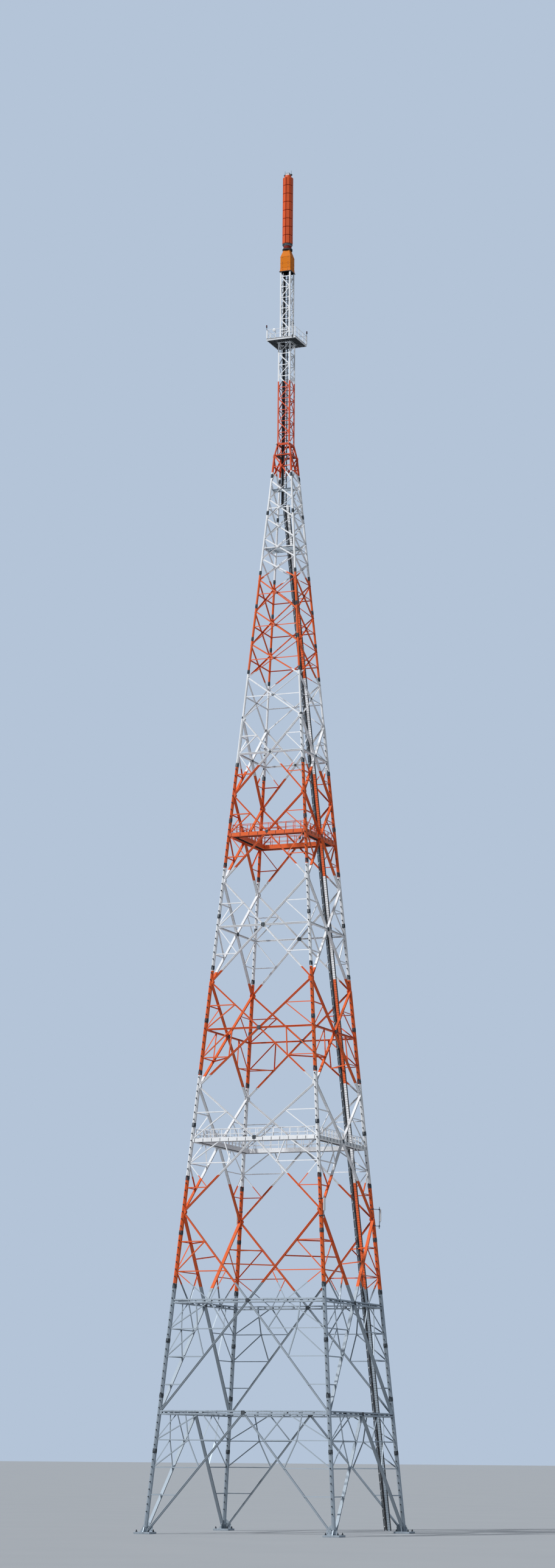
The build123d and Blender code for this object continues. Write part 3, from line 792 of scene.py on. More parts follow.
# Crossed angles fill the top stretch, one wide and one slim in each panel, with level bars
def makeTopStretch(name):
    parts, out, gap = [], topBars["out"], topBars["gap"]
    levels = middlePanels + shortPanels[1:]
    for low, high in zip(levels, levels[1:]):
        for hand, section in ((-1, "wideSlim"), (1, "slim")):
            ends = [onSide((way * half(level), level), out) for way, level in ((-hand, low), (hand, high))]
            parts.append(barBetween(kit[section], *trimmed(*ends, gap, gap), sideFacing, 0, hand > 0))
        crossing, large = crossingLevel(low, high), high <= middlePanels[-1]
        plate = kit["smallPlate" if large else "nodePlate"]
        parts.append(fittingAt(plate, onSide((0, crossing), topBars["crossOut"]), toRight, sideFacing))
        if large or low in shortPanels[1::2]:
            parts.append(barBetween(kit["strut"], *acrossSide(crossing, gap, topBars["levelOut"]), sideFacing))
        for hand in (-1, 1):
            spot = onSide((hand * (half(low) - topBars["nodeInset"]), low), topBars["nodeOut"])
            parts.append(fittingAt(kit["nodePlate"], spot, sideUp, sideFacing))
    return joinPieces(parts, name)


for height in ("base", "lower", "middle", "upper", "top"):
    if height == "top":
        front = makeTopStretch("front top bracing")
    else:
        front = makeSideStretch(f"front {height} bracing", sideStretches[height])
    for side, turn in sideTurns.items():
        bracing = turned(front, "bracing", turn)
        placePiece([bracing], f"{side}_{height}_bracing", f"{side}_{height}_lattice")
    dropSources(front)
dropSources(*kit.values())
print("radio mast: sides braced")

# Legs: round tubes in pipe lengths, with a dark bolted sleeve at each joint. A slim rail with
# pegs climbs the front face of each leg.
leg = {
    "tubes": [(90, 3517, 46), (3517, 6135, 42), (6135, 9245, 36), (9245, 12490, 26)],
    "sleeves": [
        891, 1491, 2091, 2691, 3284, 3896, 4495, 5092, 5689, 6298, 6899,
        7499, 8029, 8688, 9247, 9812, 10213, 10614, 11024, 11768, 12230,
    ],
    "sleeveHeight": 50,
    "sleeveReach": 1.2,
    "collarReach": 2.5,
    "collarThick": 6,
    "collarBolts": 8,
    "collarBolt": 2.4,
    "pegRail": (7, 3, 1),
    "pegBottom": 240,
    "pegPitch": 80,
    "pegTops": {"front_left": 8652, "front_right": 9245, "back_right": 9245, "back_left": 9245},
    "pegBlock": (5, 11, 11),
    "pegPin": 2.6,
    "pegHead": 6.3,
    "pegLength": 15,
}
legRise = Vector((taper, taper, 1)).normalized()


def legSpot(level, corner=(-1, -1)):
    return point(corner[0] * half(level), corner[1] * half(level), level)


def legTube(name, radius, low, high, finish, sides=28):
    return makeTube(name, radius, legSpot(low) * 1000, legSpot(high) * 1000, finish, sides)


def legWidth(level):
    return [width for low, high, width in leg["tubes"] if low <= level][-1]


def makeSleeve(radius):
    height, thick, reach = leg["sleeveHeight"] / 2, leg["collarThick"], radius + leg["collarReach"]
    parts = [
        makeUpright("sleeve", radius + leg["sleeveReach"], 0, 0, -height, height, "darkZinc", 24),
        makeUpright("lower collar", reach, 0, 0, -thick - 0.5, -0.5, "darkZinc", 24),
        makeUpright("upper collar", reach, 0, 0, 0.5, thick + 0.5, "darkZinc", 24),
    ]
    for step in range(leg["collarBolts"]):
        turn = 2 * math.pi * step / leg["collarBolts"]
        x, y = radius * math.cos(turn), radius * math.sin(turn)
        parts.append(makeUpright("collar bolt", leg["collarBolt"], x, y, -thick - 4, thick + 4, "darkZinc", 6))
    return joinPieces(parts, "sleeve")


def makeLeg():
    parts = [legTube("leg tube", width / 2, low, high, "bands") for low, high, width in leg["tubes"]]
    upright = upwards.rotation_difference(legRise).to_matrix().to_4x4()
    sleeves = {width: makeSleeve(width / 2) for _, _, width in leg["tubes"]}
    for level in leg["sleeves"]:
        parts.append(copyOf(sleeves[legWidth(level)], Matrix.Translation(legSpot(level)) @ upright))
    dropSources(*sleeves.values())
    return joinPieces(parts, "leg")


# A peg points along +X: a pin in a small welded block, with a round head
def makePeg():
    head, end = leg["pegHead"], leg["pegLength"]
    parts = [
        makeBlock("peg block", leg["pegBlock"], (1, 0, 0), "darkZinc", 0),
        makeTube("peg pin", leg["pegPin"], (0, 0, 0), (end - 2, 0, 0), "darkZinc", 6),
        makeTube("peg head", head, (end - 3, 0, 0), (end, 0, 0), "darkZinc", 10, head - 1.5),
    ]
    return joinPieces(parts, "climbing peg")


def makePegs(cornerName):
    corner, thick = corners[cornerName], leg["pegRail"][1]
    rail, peg = makeChannel("peg rail", *leg["pegRail"], "bands"), makePeg()
    parts = []
    for low, high, tube in leg["tubes"][:3]:
        out = toFront * mm(tube / 2 * stretchOut)
        parts.append(barBetween(rail, legSpot(low, corner) + out, legSpot(high, corner) + out, toRight))
    for level in range(leg["pegBottom"], leg["pegTops"][cornerName], leg["pegPitch"]):
        spot = legSpot(level, corner) + toFront * mm(legWidth(level) / 2 * stretchOut + thick)
        parts.append(fittingAt(peg, spot, toFront, upwards))
    dropSources(rail, peg)
    return parts


firstLeg = makeLeg()
for corner, turn in cornerTurns.items():
    tubes = turned(firstLeg, "leg", turn)
    placePiece([tubes] + makePegs(corner), f"{corner}_leg_tube", f"{corner}_leg")
dropSources(firstLeg)
print("radio mast: legs raised")

# Feet: an anchor plate with studs and nuts, four ribs, and the flange under the leg
foot = {
    "plate": 190,
    "thick": 22,
    "height": 90,
    "stubRadius": 23,
    "flange": 16,
    "flangeRadius": 32,
    "rib": 10,
    "ribReach": 34,
    "studReach": 70,
    # Each stud's washer, nut and end: name, radius, rise above the plate, height, sides
    "stud": [("washer", 12, 0, 3, 16), ("nut", 10, 3, 9, 6), ("stud", 6, 12, 12, 12)],
}


def makeFoot():
    x = y = -tower["baseHalf"]
    thick, height, flange, reach = (foot[key] for key in ("thick", "height", "flange", "ribReach"))
    parts = [
        makeBlock("anchor plate", (foot["plate"], foot["plate"], thick), (x, y, thick / 2), "zinc", 2),
        makeTube("stub", foot["stubRadius"], (x, y, thick), legSpot(height) * 1000, "zinc", 28),
        legTube("foot flange", foot["flangeRadius"], height - flange, height, "zinc"),
    ]
    ribHeight = height - thick - flange
    rib = makeBlock("rib", (reach + 20, foot["rib"], ribHeight), (reach / 2 + 13, 0, 0), "zinc", 0)
    editEdges(rib, lambda a, b: min(a.z, b.z) > 0 and min(a.x, b.x) > mm(40))
    bpy.ops.transform.translate(value=(-mm(reach - 4), 0, 0))
    leaveEdit()
    lift = Matrix.Translation(point(x, y, thick + ribHeight / 2))
    for turn in sideTurns.values():
        parts.append(copyOf(rib, lift @ Matrix.Rotation(math.radians(turn), 4, "Z")))
    dropSources(rib)
    for sideX, sideY in corners.values():
        spot = (x + sideX * foot["studReach"], y + sideY * foot["studReach"])
        for name, radius, rise, tall, sides in foot["stud"]:
            low = thick + rise
            parts.append(makeUpright(name, radius, *spot, low, low + tall, "darkZinc", sides))
    return joinPieces(parts, "foot")


firstFoot = makeFoot()
for corner, turn in cornerTurns.items():
    placePiece([turned(firstFoot, "foot", turn)], f"{corner}_base_shoe", f"{corner}_foot")
dropSources(firstFoot)
print("radio mast: feet set")

# Ring walkways: a closed deck with grating on it between two edge channels, stiffened below by bars along its length,
# with a top rail and a knee rail on either edge. The deck and the bars below it are dark grey: painted shade under
# the grating
walkway = {
    "width": 80,
    "beamHalf": 17,
    "clearance": 0.3,
    "railHeight": 112,
    "railInset": 16,
    "innerInset": 5,
    "post": (7, 7, 1.6),
    "rail": 3.2,
    "kneeRail": 2.4,
    "cross": 1.3,
    "barPitch": 10,
    "crossPitch": 24,
    "underPitch": 19,
    # Angles and channels: width, depth and wall, and how far each lies below the floor
    "bar": (4, 3, 1.4),
    "edge": (34, 12, 2),
    "edgeDrop": 17,
    "under": (16, 6, 1.6),
    "underDrop": 18,
    "kick": (14, 1, 1),
    "kickDrop": -7,
    "deckThick": 4,
    "deckDrop": 8,
    # On the upper walkway: name, size, centre, finish, chamfer
    "upperThings": [
        ("junction box", (60, 24, 16), (-330, -405, 7881), "darkZinc", 2),
        ("rail lamp box", (24, 10, 34), (60, 392, 7950), "darkZinc", 2),
        ("rail switch box", (20, 10, 26), (100, 392, 7944), "zinc", 2),
    ],
}


# A bar along one edge of a square ring, at its reach from the centre line
def edgeBar(section, reach, level, flip=False):
    return barBetween(section, point(-reach, -reach, level), point(reach, -reach, level), upwards, 0, flip)


def makeRailing(reach, level, height, bays, bars):
    parts = []
    for step in range(bays):
        run = -reach + 2 * reach * step / bays
        ends = point(run, -reach, level), point(run, -reach, level + height)
        parts.append(barBetween(bars["post"], *ends, toFront))
    for share, rail in ((1, "rail"), (0.5, "kneeRail")):
        parts.append(edgeBar(bars[rail], reach, level + height * share - walkway["rail"]))
    return parts


def makeWalkwaySide(level, bays, finish):
    outer = half(level) - (walkway["beamHalf"] + walkway["clearance"]) * stretchOut
    width, height = walkway["width"], walkway["railHeight"]
    inner = outer - width
    bars = {
        "post": makeAngle("rail post", *walkway["post"], finish),
        "rail": makeRod("top rail", walkway["rail"], finish, 10),
        "kneeRail": makeRod("knee rail", walkway["kneeRail"], finish),
        "bar": makeAngle("grating bar", *walkway["bar"], "darkZinc"),
        "cross": makeRod("grating rod", walkway["cross"], "darkZinc", 4),
        "edge": makeChannel("inner edge channel", *walkway["edge"], finish),
        # The deck stiffeners are dark grey as painted shade
        "under": makeChannel("deck stiffener", *walkway["under"], "paintedShade"),
        "kick": makeChannel("kick plate", *walkway["kick"], finish),
    }
    parts = makeRailing(outer - walkway["railInset"], level, height, bays, bars)
    parts += makeRailing(inner + walkway["innerInset"], level, height, bays, bars)
    # The closed deck under the grating is a dark sheet: painted shade
    deckSize = (outer + inner - 2, width - 4, walkway["deckThick"])
    deckCentre = ((inner - outer) / 2, -(outer + inner) / 2, level - walkway["deckDrop"])
    parts.append(makeBlock("deck", deckSize, deckCentre, "paintedShade", 0.5))
    parts += [edgeBar(bars["bar"], inner + out, level - 1) for out in range(4, width, walkway["barPitch"])]
    count = round(2 * inner / walkway["crossPitch"])
    for step in range(count + 1):
        run = -inner + 2 * inner * step / count
        ends = point(run, 3 - outer, level - 4), point(run, -inner, level - 4)
        parts.append(barBetween(bars["cross"], *ends, upwards))
    for out in range(12, width - 5, walkway["underPitch"]):
        parts.append(edgeBar(bars["under"], inner + out, level - walkway["underDrop"]))
    for reach, flip in ((inner + 2, True), (outer - 2, False)):
        parts += [edgeBar(bars[bar], reach, level - walkway[bar + "Drop"], flip) for bar in ("edge", "kick")]
    dropSources(*bars.values())
    return parts


def makeWalkway(name, node, level, bays, finish, things=()):
    ring = fourTimes(makeWalkwaySide(level, bays, finish), name)
    placePiece([ring] + [makeBlock(*thing) for thing in things], name, node)


makeWalkway("lower_walkway_deck", "lower_walkway", 4337, 14, "whiteEnamel")
things = walkway["upperThings"]
makeWalkway("upper_walkway_deck", "upper_walkway", 7871, 8, "orangeEnamel", things)
print("radio mast: walkways laid")


# A quarter of a square plate round a hole; four of them turn about the centre line
def ringQuarter(name, reach, hole, thick, level, finish, trim=0):
    size = (reach + hole - trim, reach - hole - trim, thick)
    return makeBlock(name, size, ((hole - reach) / 2, -(reach + hole) / 2, level), finish, 0.5)


def makeSquare(name, width, thick, level, finish, chamfer=1):
    return makeBlock(name, (width, width, thick), (0, 0, level), finish, chamfer)


def copyAt(source, spot):
    return copyOf(source, Matrix.Translation(spot))


# Moves a piece from the origin to its place, turned about one axis
def setAt(piece, spot, degrees, axis):
    piece.data.transform(Matrix.Translation(point(*spot)) @ Matrix.Rotation(math.radians(degrees), 4, axis))
    return piece


# Neck: leaning corner tubes between two thin rings, with a V brace on each side and a collar plate inside the low
# ring, dark grey as painted shade
neck = {
    "bottom": 12490,
    "lowHalf": 104,
    "top": 12622,
    "topHalf": 80,
    "foot": 102,
    "head": 73,
    "post": 10,
    "shoe": 15,
    "hole": 54,
    "ringSection": (10, 12, 2),
    "brace": (8, 8, 1.6),
    "headPlate": (146, 22, 3),
    "footGusset": (26, 3, 16),
    "headGusset": (18, 3, 20),
    "light": (20, 9, 9),
    "lightArm": (5, 18, 22),
    "lightLean": -25,
}


def makeNeckSide():
    bottom, high, foot, head = (neck[key] for key in ("bottom", "top", "foot", "head"))
    low, rise = bottom + neck["ringSection"][0], neck["ringSection"][0] / 2
    ring = makeChannel("neck ring", *neck["ringSection"], "bands")
    brace = makeAngle("neck brace", *neck["brace"], "bands")
    parts = [
        # The collar plate is dark grey: painted shade inside the low ring
        ringQuarter("collar plate", foot, neck["hole"], 4, bottom + 4, "paintedShade"),
        edgeBar(ring, neck["lowHalf"], bottom + rise),
        edgeBar(ring, neck["topHalf"], high + rise),
        makeBlock("head plate", neck["headPlate"], (0, 4 - head, high + 13), "bands", 0.5),
        makeTube("neck post", neck["post"], (-foot, -foot, bottom), (-head, -head, high + 14), "bands", 20),
        makeUpright("post shoe", neck["shoe"], -foot, -foot, bottom - 6, bottom + 8, "bands", 20),
        makeBlock("brace gusset", neck["footGusset"], (0, -foot - 4, low + 5), "darkZinc", 0.6),
    ]
    for hand in (-1, 1):
        ends = point(hand * 3, -foot - 2, low), point(hand * (head - 4), -head - 6, high)
        parts.append(barBetween(brace, *ends, toFront))
        centre = (hand * (head - 6), -head - 8, high - 6)
        parts.append(makeBlock("neck gusset", neck["headGusset"], centre, "bands", 0.6))
    dropSources(ring, brace)
    return parts


def makeNeck():
    parts, high = [fourTimes(makeNeckSide(), "neck")], neck["top"]
    for hand in (-1, 1):
        light = makeBlock("floodlight", neck["light"], (0, 0, 0), "whiteEnamel", 1.5)
        parts.append(setAt(light, (hand * 84, -96, high + 18), neck["lightLean"], "Y"))
        parts.append(makeBlock("floodlight arm", neck["lightArm"], (hand * 78, -88, high + 6), "darkZinc", 0.6))
    parts.append(makeTube("outrigger", 2.2, (-86, -86, high + 10), (-106, -92, high + 13), "whiteEnamel", 8))
    placePiece(parts, "neck_brace_frame", "neck_frame")


makeNeck()

# Shafts: angle posts with level bars and one diagonal to each bay. A diagonal that rises to the
# right is slim, and the next one, back to the left, is wide.
shaft = {
    # Angles: width, depth and wall
    "post": (16, 16, 2.4),
    "slim": (8.5, 5, 1.6),
    "wide": (12, 5, 1.6),
    "level": (8, 5, 1.4),
    "plate": (18, 1.6),
    "riserX": -41.7,
    "clamp": (26, 8, 12),
    "clampLevels": range(12760, 13900, 280),
    "pipe": (4.5, -34, -46, 13940, 14790),
    "clip": (14, 10, 5),
    "clipLevels": range(14010, 14780, 133),
}
lowerShaft = {"bottom": 12638, "top": 13905, "reach": 78, "bays": 9, "head": 0}
upperShaft = {"bottom": 13933, "top": 14797, "reach": 65, "bays": 6, "head": 52}


def makeShaft(name, node, sizes, things):
    bars = {bar: makeAngle(f"{bar} shaft bar", *shaft[bar], "bands") for bar in ("post", "slim", "wide", "level")}
    bars["plate"] = makeSquare("shaft plate", *shaft["plate"], 0, "bands", 0.4)
    bottom, top, bays, reach = sizes["bottom"], sizes["top"] - sizes["head"], sizes["bays"], sizes["reach"]
    middle, face, bay = reach - shaft["post"][0] / 2, 2 - reach, (top - bottom) / bays
    ends = point(-middle, -reach, bottom), point(-middle, -reach, sizes["top"])
    parts = [barBetween(bars["post"], *ends, toFront)]
    for step in range(bays + 1):
        level = min(max(bottom + bay * step, bottom + 4), top - 4)
        parts.append(barBetween(bars["level"], point(-middle, face, level), point(middle, face, level), toFront))
        for hand in (-1, 1):
            parts.append(fittingAt(bars["plate"], point(hand * (middle - 5), face - 1, level), toRight, toFront))
    for step in range(bays):
        lean, bar = (middle, "wide") if step % 2 else (-middle, "slim")
        low, high = bottom + bay * step, bottom + bay * (step + 1)
        parts.append(barBetween(bars[bar], point(lean, face + 2, low), point(-lean, face + 2, high), toFront))
    frameSides = fourTimes(parts, name)
    dropSources(*bars.values())
    placePiece([frameSides] + things, name, node)


clamps = [
    makeBlock("cable clamp", shaft["clamp"], (shaft["riserX"], -16, level), "whiteEnamel")
    for level in shaft["clampLevels"]
]
pipe = makeUpright("inner pipe", *shaft["pipe"], "whiteEnamel")
clips = [makeBlock("pipe clip", shaft["clip"], (-36, -52, level), "darkZinc", 0.5) for level in shaft["clipLevels"]]
makeShaft("lower_shaft_frame", "lower_shaft", lowerShaft, clamps)
makeShaft("upper_shaft_frame", "upper_shaft", upperShaft, [pipe] + clips)
print("radio mast: shafts raised")

# Mast platform: a closed deck with a ribbed fascia, a rail and a knee rail, heavy corner posts,
# a small dish and a whip pole
platform = {
    "level": 13905,
    "thick": 28,
    "half": 184,
    "railHeight": 112,
    "inset": 3,
    "well": 54,
    "ribs": (6, 14, 22),
    "joists": range(-150, 151, 50),
    "brackets": range(-75, 76, 25),
    # A post's height and width at each corner, its place along the front and its height, and the
    # places on the other three sides
    "cornerPosts": {
        "front_left": (100, 16),
        "front_right": (112, 8),
        "back_right": (112, 16),
        "back_left": (112, 16),
    },
    "frontPosts": [(0.1, 56), (0.3, 112), (0.61, 112)],
    "sidePosts": (0.33, 0.69),
    "midPost": 6,
    "rails": [(1, 2.6), (0.5, 3)],
    "bracket": (8, 7, 6),
    # The dish: its place across, its height above the deck, and insets and bulges of its face
    "dish": (-85, 92),
    "dishSteps": [(1.5, 0.6), (6, 1.6), (7, 0.8)],
    "dishBracket": (8, 12, 26),
    "whipX": 147,
    "whipHeight": 178,
}
platformTop = platform["level"] + platform["thick"]


def makePlatformSide():
    bottom, thick, reach = platform["level"], platform["thick"], platform["half"]
    well, height = platform["well"], platform["railHeight"]
    middle = bottom + thick / 2
    parts = [
        ringQuarter("deck", reach, well, 10, platformTop - 6, "whiteEnamel"),
        # The ceiling below the deck and the inner fascia round the well are dark grey: painted shade
        ringQuarter("ceiling", reach, well, 4, bottom + 9, "paintedShade", 4),
        makeBlock("fascia", (2 * reach - 3, 3, thick), (-1.5, 1.5 - reach, middle), "whiteEnamel", 0.6),
        makeBlock("inner fascia", (2 * well + 3, 3, thick), (1.5, -well - 1.5, middle), "paintedShade", 0.6),
    ]
    for rise in platform["ribs"]:
        centre = (-2, -reach - 0.6, bottom + rise)
        parts.append(makeBlock("fascia rib", (2 * reach - 4, 2, 2), centre, "whiteEnamel", 0.5))
    # The joists under the deck are dark grey: painted shade
    for run in platform["joists"]:
        inner = max(well, abs(run))
        centre = (run, -(reach + inner) / 2, bottom + 4.5)
        parts.append(makeBlock("joist", (5, reach - inner - 6, 9), centre, "paintedShade", 0.5))
    for run in platform["brackets"]:
        parts.append(makeBlock("deck bracket", platform["bracket"], (run, -reach / 2, bottom - 1), "aerial", 0.8))
    rail = reach - platform["inset"]
    for share, radius in platform["rails"]:
        level = platformTop + height * share - 3
        ends = (-rail, -rail, level), (rail, -rail, level)
        parts.append(makeTube("platform rail", radius, *ends, "whiteEnamel", 10))
    return parts


def railPost(x, y, height, width):
    centre = (x, y, platformTop + height / 2)
    return makeBlock("rail post", (width, width * 0.75, height), centre, "whiteEnamel", 0.8)


# A small round dish on the front rail, on a dark bracket
def makeDish():
    x, rise = platform["dish"]
    y, z = -platform["half"] - 3, platformTop + rise
    deselectAll()
    bpy.ops.mesh.primitive_cone_add(
        vertices=28,
        radius1=mm(14),
        radius2=mm(21),
        depth=mm(9),
        location=point(x, y - 7, z),
        rotation=(math.pi / 2, 0, 0),
    )
    dish = coloured(bpy.context.object, "dish", "aerial")
    applyPlace(dish)
    editFaces(dish, lambda normal: normal.y < -0.9)
    for step, bulge in platform["dishSteps"]:
        bpy.ops.mesh.inset(thickness=mm(step))
        bpy.ops.transform.translate(value=(0, -mm(bulge), 0))
    leaveEdit()
    bpy.ops.object.shade_smooth_by_angle(angle=math.radians(40))
    return [dish, makeBlock("dish bracket", platform["dishBracket"], (x, y + 4, z - 4), "darkZinc")]


def makePlatform():
    reach, height, thin = platform["half"] - platform["inset"], platform["railHeight"], platform["midPost"]
    parts = [fourTimes(makePlatformSide(), "platform")] + makeDish()
    for corner, (sideX, sideY) in corners.items():
        parts.append(railPost(sideX * reach, sideY * reach, *platform["cornerPosts"][corner]))
    for share, postHeight in platform["frontPosts"]:
        parts.append(railPost(reach * (2 * share - 1), -reach, postHeight, thin))
    for share in platform["sidePosts"]:
        run = reach * (2 * share - 1)
        parts += [railPost(x, y, height, thin) for x, y in ((reach, run), (-run, reach), (-reach, -run))]
    x, y, top = platform["whipX"], -reach - 6, platformTop
    parts += [
        makeUpright("whip pole", 5.5, x, y, top - 20, top + platform["whipHeight"], "whiteEnamel", 12, 3),
        makeUpright("whip base", 8, x, y, top - 22, top + 10, "darkZinc"),
        makeBlock("whip arm", (22, 4, 4), (x + 9, y, top + 142), "darkZinc", 0.6),
        makeUpright("whip lamp", 6, x + 16, y, top + 138, top + 156, "darkZinc", 12, 4.5),
    ]
    placePiece(parts, "mast_platform_deck", "mast_platform")


makePlatform()

# Warning lamps: a red lens on a dark base, on a stalk that leans outwards over a corner post
lamps = {
    "corners": ("front_left", "back_right"),
    "footReach": 181,
    "headReach": 184.9,
    "rise": 26,
    "base": 8,
    "lens": 9,
    "lensHeight": 20,
}


def makeLamps():
    parts, base, lens = [], lamps["base"], lamps["lens"]
    post = platformTop + platform["railHeight"]
    head = post + lamps["rise"]
    lensTop = head + 8 + lamps["lensHeight"]
    for corner in lamps["corners"]:
        foot, (x, y) = ([side * lamps[end] for side in corners[corner]] for end in ("footReach", "headReach"))
        parts += [
            makeTube("lamp stalk", 3, (*foot, post - 10), (x, y, head), "darkZinc", 10),
            makeUpright("lamp base", base, x, y, head, head + 8, "darkZinc", 16, base + 2),
            makeUpright("lamp lens", lens, x, y, head + 8, lensTop, "lamp", 16, lens - 2),
            makeUpright("lamp cap", lens - 1, x, y, lensTop, lensTop + 3, "darkZinc", 16, 4),
        ]
    placePiece(parts, "warning_lamp_pair", "warning_lamps")


makeLamps()
print("radio mast: platform fitted")

# Shroud: a square moulded cover with a flared skirt, a tapered cap, seams and paired screws,
# standing on a black flange
shroud = {
    "bottom": 14797,
    "skirt": 48,
    "body": 147,
    "cap": 92,
    "skirtHalf": 73,
    "half": 66,
    "topHalf": 38,
    "seams": (2, 62, 145),
    "seamThick": 3,
    "screw": 3.6,
    "screws": (12, 52, 73, 135),
    "footFlange": (152, 9),
    "capFlange": (94, 7),
}


def makeShroud():
    bottom, reach = shroud["bottom"], shroud["half"]
    low = bottom + shroud["skirt"]
    high = low + shroud["body"]
    top = high + shroud["cap"]
    cover = makeSquare("cover", 2 * reach, shroud["body"], (low + high) / 2, "amberCover", 0)
    for side, start, end, endReach in ((1, high, top, "topHalf"), (-1, low, bottom, "skirtHalf")):
        editFaces(cover, lambda normal: normal.z * side > 0.9)
        bpy.ops.mesh.extrude_region_move(TRANSFORM_OT_translate={"value": (0, 0, mm(end - start))})
        scale = shroud[endReach] / reach
        bpy.ops.transform.resize(value=(scale, scale, 1), center_override=(0, 0, mm(end)))
        leaveEdit()
    applyModifier(cover, "BEVEL", width=mm(5), segments=2, limit_method="ANGLE", angle_limit=math.radians(60))
    thick, radius = shroud["seamThick"], shroud["screw"]
    seams = [makeSquare("seam", 2 * reach + thick, thick, low + rise, "amberCover") for rise in shroud["seams"]]
    # A screw's place along the side, its reach from and to, and its level
    screws = [(run, reach, reach + 1.8, low + rise) for rise in shroud["screws"] for run in (-34, 34)]
    screws += [(run, 68, 71.5, low - 22) for run in (-30, 30)]
    side = [makeTube("screw", radius, (run, -a, level), (run, -b, level), "sheath", 8) for run, a, b, level in screws]
    flanges = [
        makeSquare("foot flange", *shroud["footFlange"], bottom + 4.5, "sheath", 2),
        makeSquare("cap flange", *shroud["capFlange"], top - 4, "sheath", 2),
    ]
    parts = [cover, fourTimes(side, "screws")] + seams + flanges
    placePiece(parts, "shroud_cover", "antenna_shroud")


makeShroud()

# Antenna: moulded radomes in columns round the pole, each held off it by two clamps
antenna = {
    "bottom": 15084,
    "neck": 78,
    "neckRadius": 49,
    "flangeRadius": 61,
    "flangeHeight": 14,
    "flangeBolts": 12,
    "flangeBolt": 3.4,
    "slipRing": (54, 63),
    "bay": 106,
    "bays": 8,
    "columns": 8,
    "panel": (12, 39, 99),
    "panelSteps": [(3, -1.2), (1.5, 1.6)],
    "clampRise": 34,
    "reach": 62,
    "crown": 30,
    "crownRadius": 40,
    "crownBox": (44, 30),
    "crownLid": (48, 4),
    "drive": (30, 22, 17),
    "driveReach": 38,
    "rodHeight": 66,
}
panelBottom = antenna["bottom"] + antenna["neck"]
panelTop = panelBottom + antenna["bay"] * antenna["bays"]


def makePanels():
    thick, width, _ = antenna["panel"]
    radome = makeBlock("radome", antenna["panel"], (antenna["reach"] - thick / 2, 0, 0), "radome", 0)
    editFaces(radome, lambda normal: normal.x > 0.9)
    for step, rise in antenna["panelSteps"]:
        bpy.ops.mesh.inset(thickness=mm(step))
        bpy.ops.transform.translate(value=(mm(rise), 0, 0))
    leaveEdit()
    applyModifier(radome, "BEVEL", width=mm(1.2), segments=1, limit_method="ANGLE", angle_limit=math.radians(60))
    clampSize, clampX = (6, width * 0.7, 5), antenna["reach"] - thick - 3
    rises = (-antenna["clampRise"], antenna["clampRise"])
    clamps = [makeBlock("clamp", clampSize, (clampX, 0, rise), "darkZinc", 0) for rise in rises]
    panel = joinPieces([radome] + clamps, "radome")
    parts = []
    for bay in range(antenna["bays"]):
        lift = Matrix.Translation(point(0, 0, panelBottom + antenna["bay"] * (bay + 0.5)))
        for column in range(antenna["columns"]):
            turn = 2 * math.pi * (column + 0.5) / antenna["columns"]
            parts.append(copyOf(panel, lift @ Matrix.Rotation(turn, 4, "Z")))
    dropSources(panel)
    placePiece(parts, "antenna_radomes", "antenna_panels")


def makePole():
    low, radius, reach = antenna["bottom"], antenna["neckRadius"], antenna["flangeRadius"]
    thick, topRadius, bay = antenna["flangeHeight"], antenna["crownRadius"], antenna["bay"]
    # Round parts on the centre line: name, radius, bottom, top, finish, sides, top radius
    rounds = [
        # The neck, pole and bay rings are dark red: a red paint, darkened as painted shade under the panels
        ("neck tube", radius, low, panelBottom, "neckRed", 32),
        ("neck flange", reach, low, low + thick, "sheath", 32),
        ("slip ring", radius + 4, *(low + rise for rise in antenna["slipRing"]), "zinc", 32),
        ("panel flange", reach, panelBottom - thick, panelBottom, "darkZinc", 32),
        ("pole", radius, panelBottom, panelTop, "neckRed", 8),
        ("top plate", topRadius + 3, panelTop, panelTop + antenna["crown"], "radome", 32, topRadius),
    ]
    levels = range(panelBottom + bay, panelTop, bay)
    rounds += [("bay ring", radius + 6, level - 2, level + 2, "neckRed", 8) for level in levels]
    parts = [makeUpright(name, wide, 0, 0, *rest) for name, wide, *rest in rounds]
    for step in range(antenna["flangeBolts"]):
        turn = 2 * math.pi * step / antenna["flangeBolts"]
        x, y = (reach - 6) * math.cos(turn), (reach - 6) * math.sin(turn)
        for level in (low + thick, panelBottom - thick - 4):
            parts.append(makeUpright("flange bolt", antenna["flangeBolt"], x, y, level, level + 4, "darkZinc", 6))
    placePiece(parts, "antenna_pole_tube", "antenna_pole")


# Crown: a pale equipment box between two dark drive housings, with two thin rods
def makeCrown():
    base, reach, rod = panelTop + antenna["crown"], antenna["driveReach"], antenna["rodHeight"]
    parts = [
        makeSquare("crown box", *antenna["crownBox"], base + 15, "aerial", 3),
        makeSquare("crown lid", *antenna["crownLid"], base + 32, "zinc", 1.2),
    ]
    for hand in (-1, 1):
        parts += [
            makeBlock("drive housing", antenna["drive"], (hand * reach, 0, base + 8.5), "sheath", 4),
            makeUpright("drive knob", 8, hand * (reach + 8), 0, base + 15, base + 20, "darkZinc", 12, 6),
            makeUpright("crown rod", 2.4, hand * (reach + 2), 0, base + 17, base + rod, "darkZinc", 8, 1.4),
        ]
    placePiece(parts, "crown_gear", "antenna_crown")


makePanels()
makePole()
makeCrown()
print("radio mast: antenna fitted")

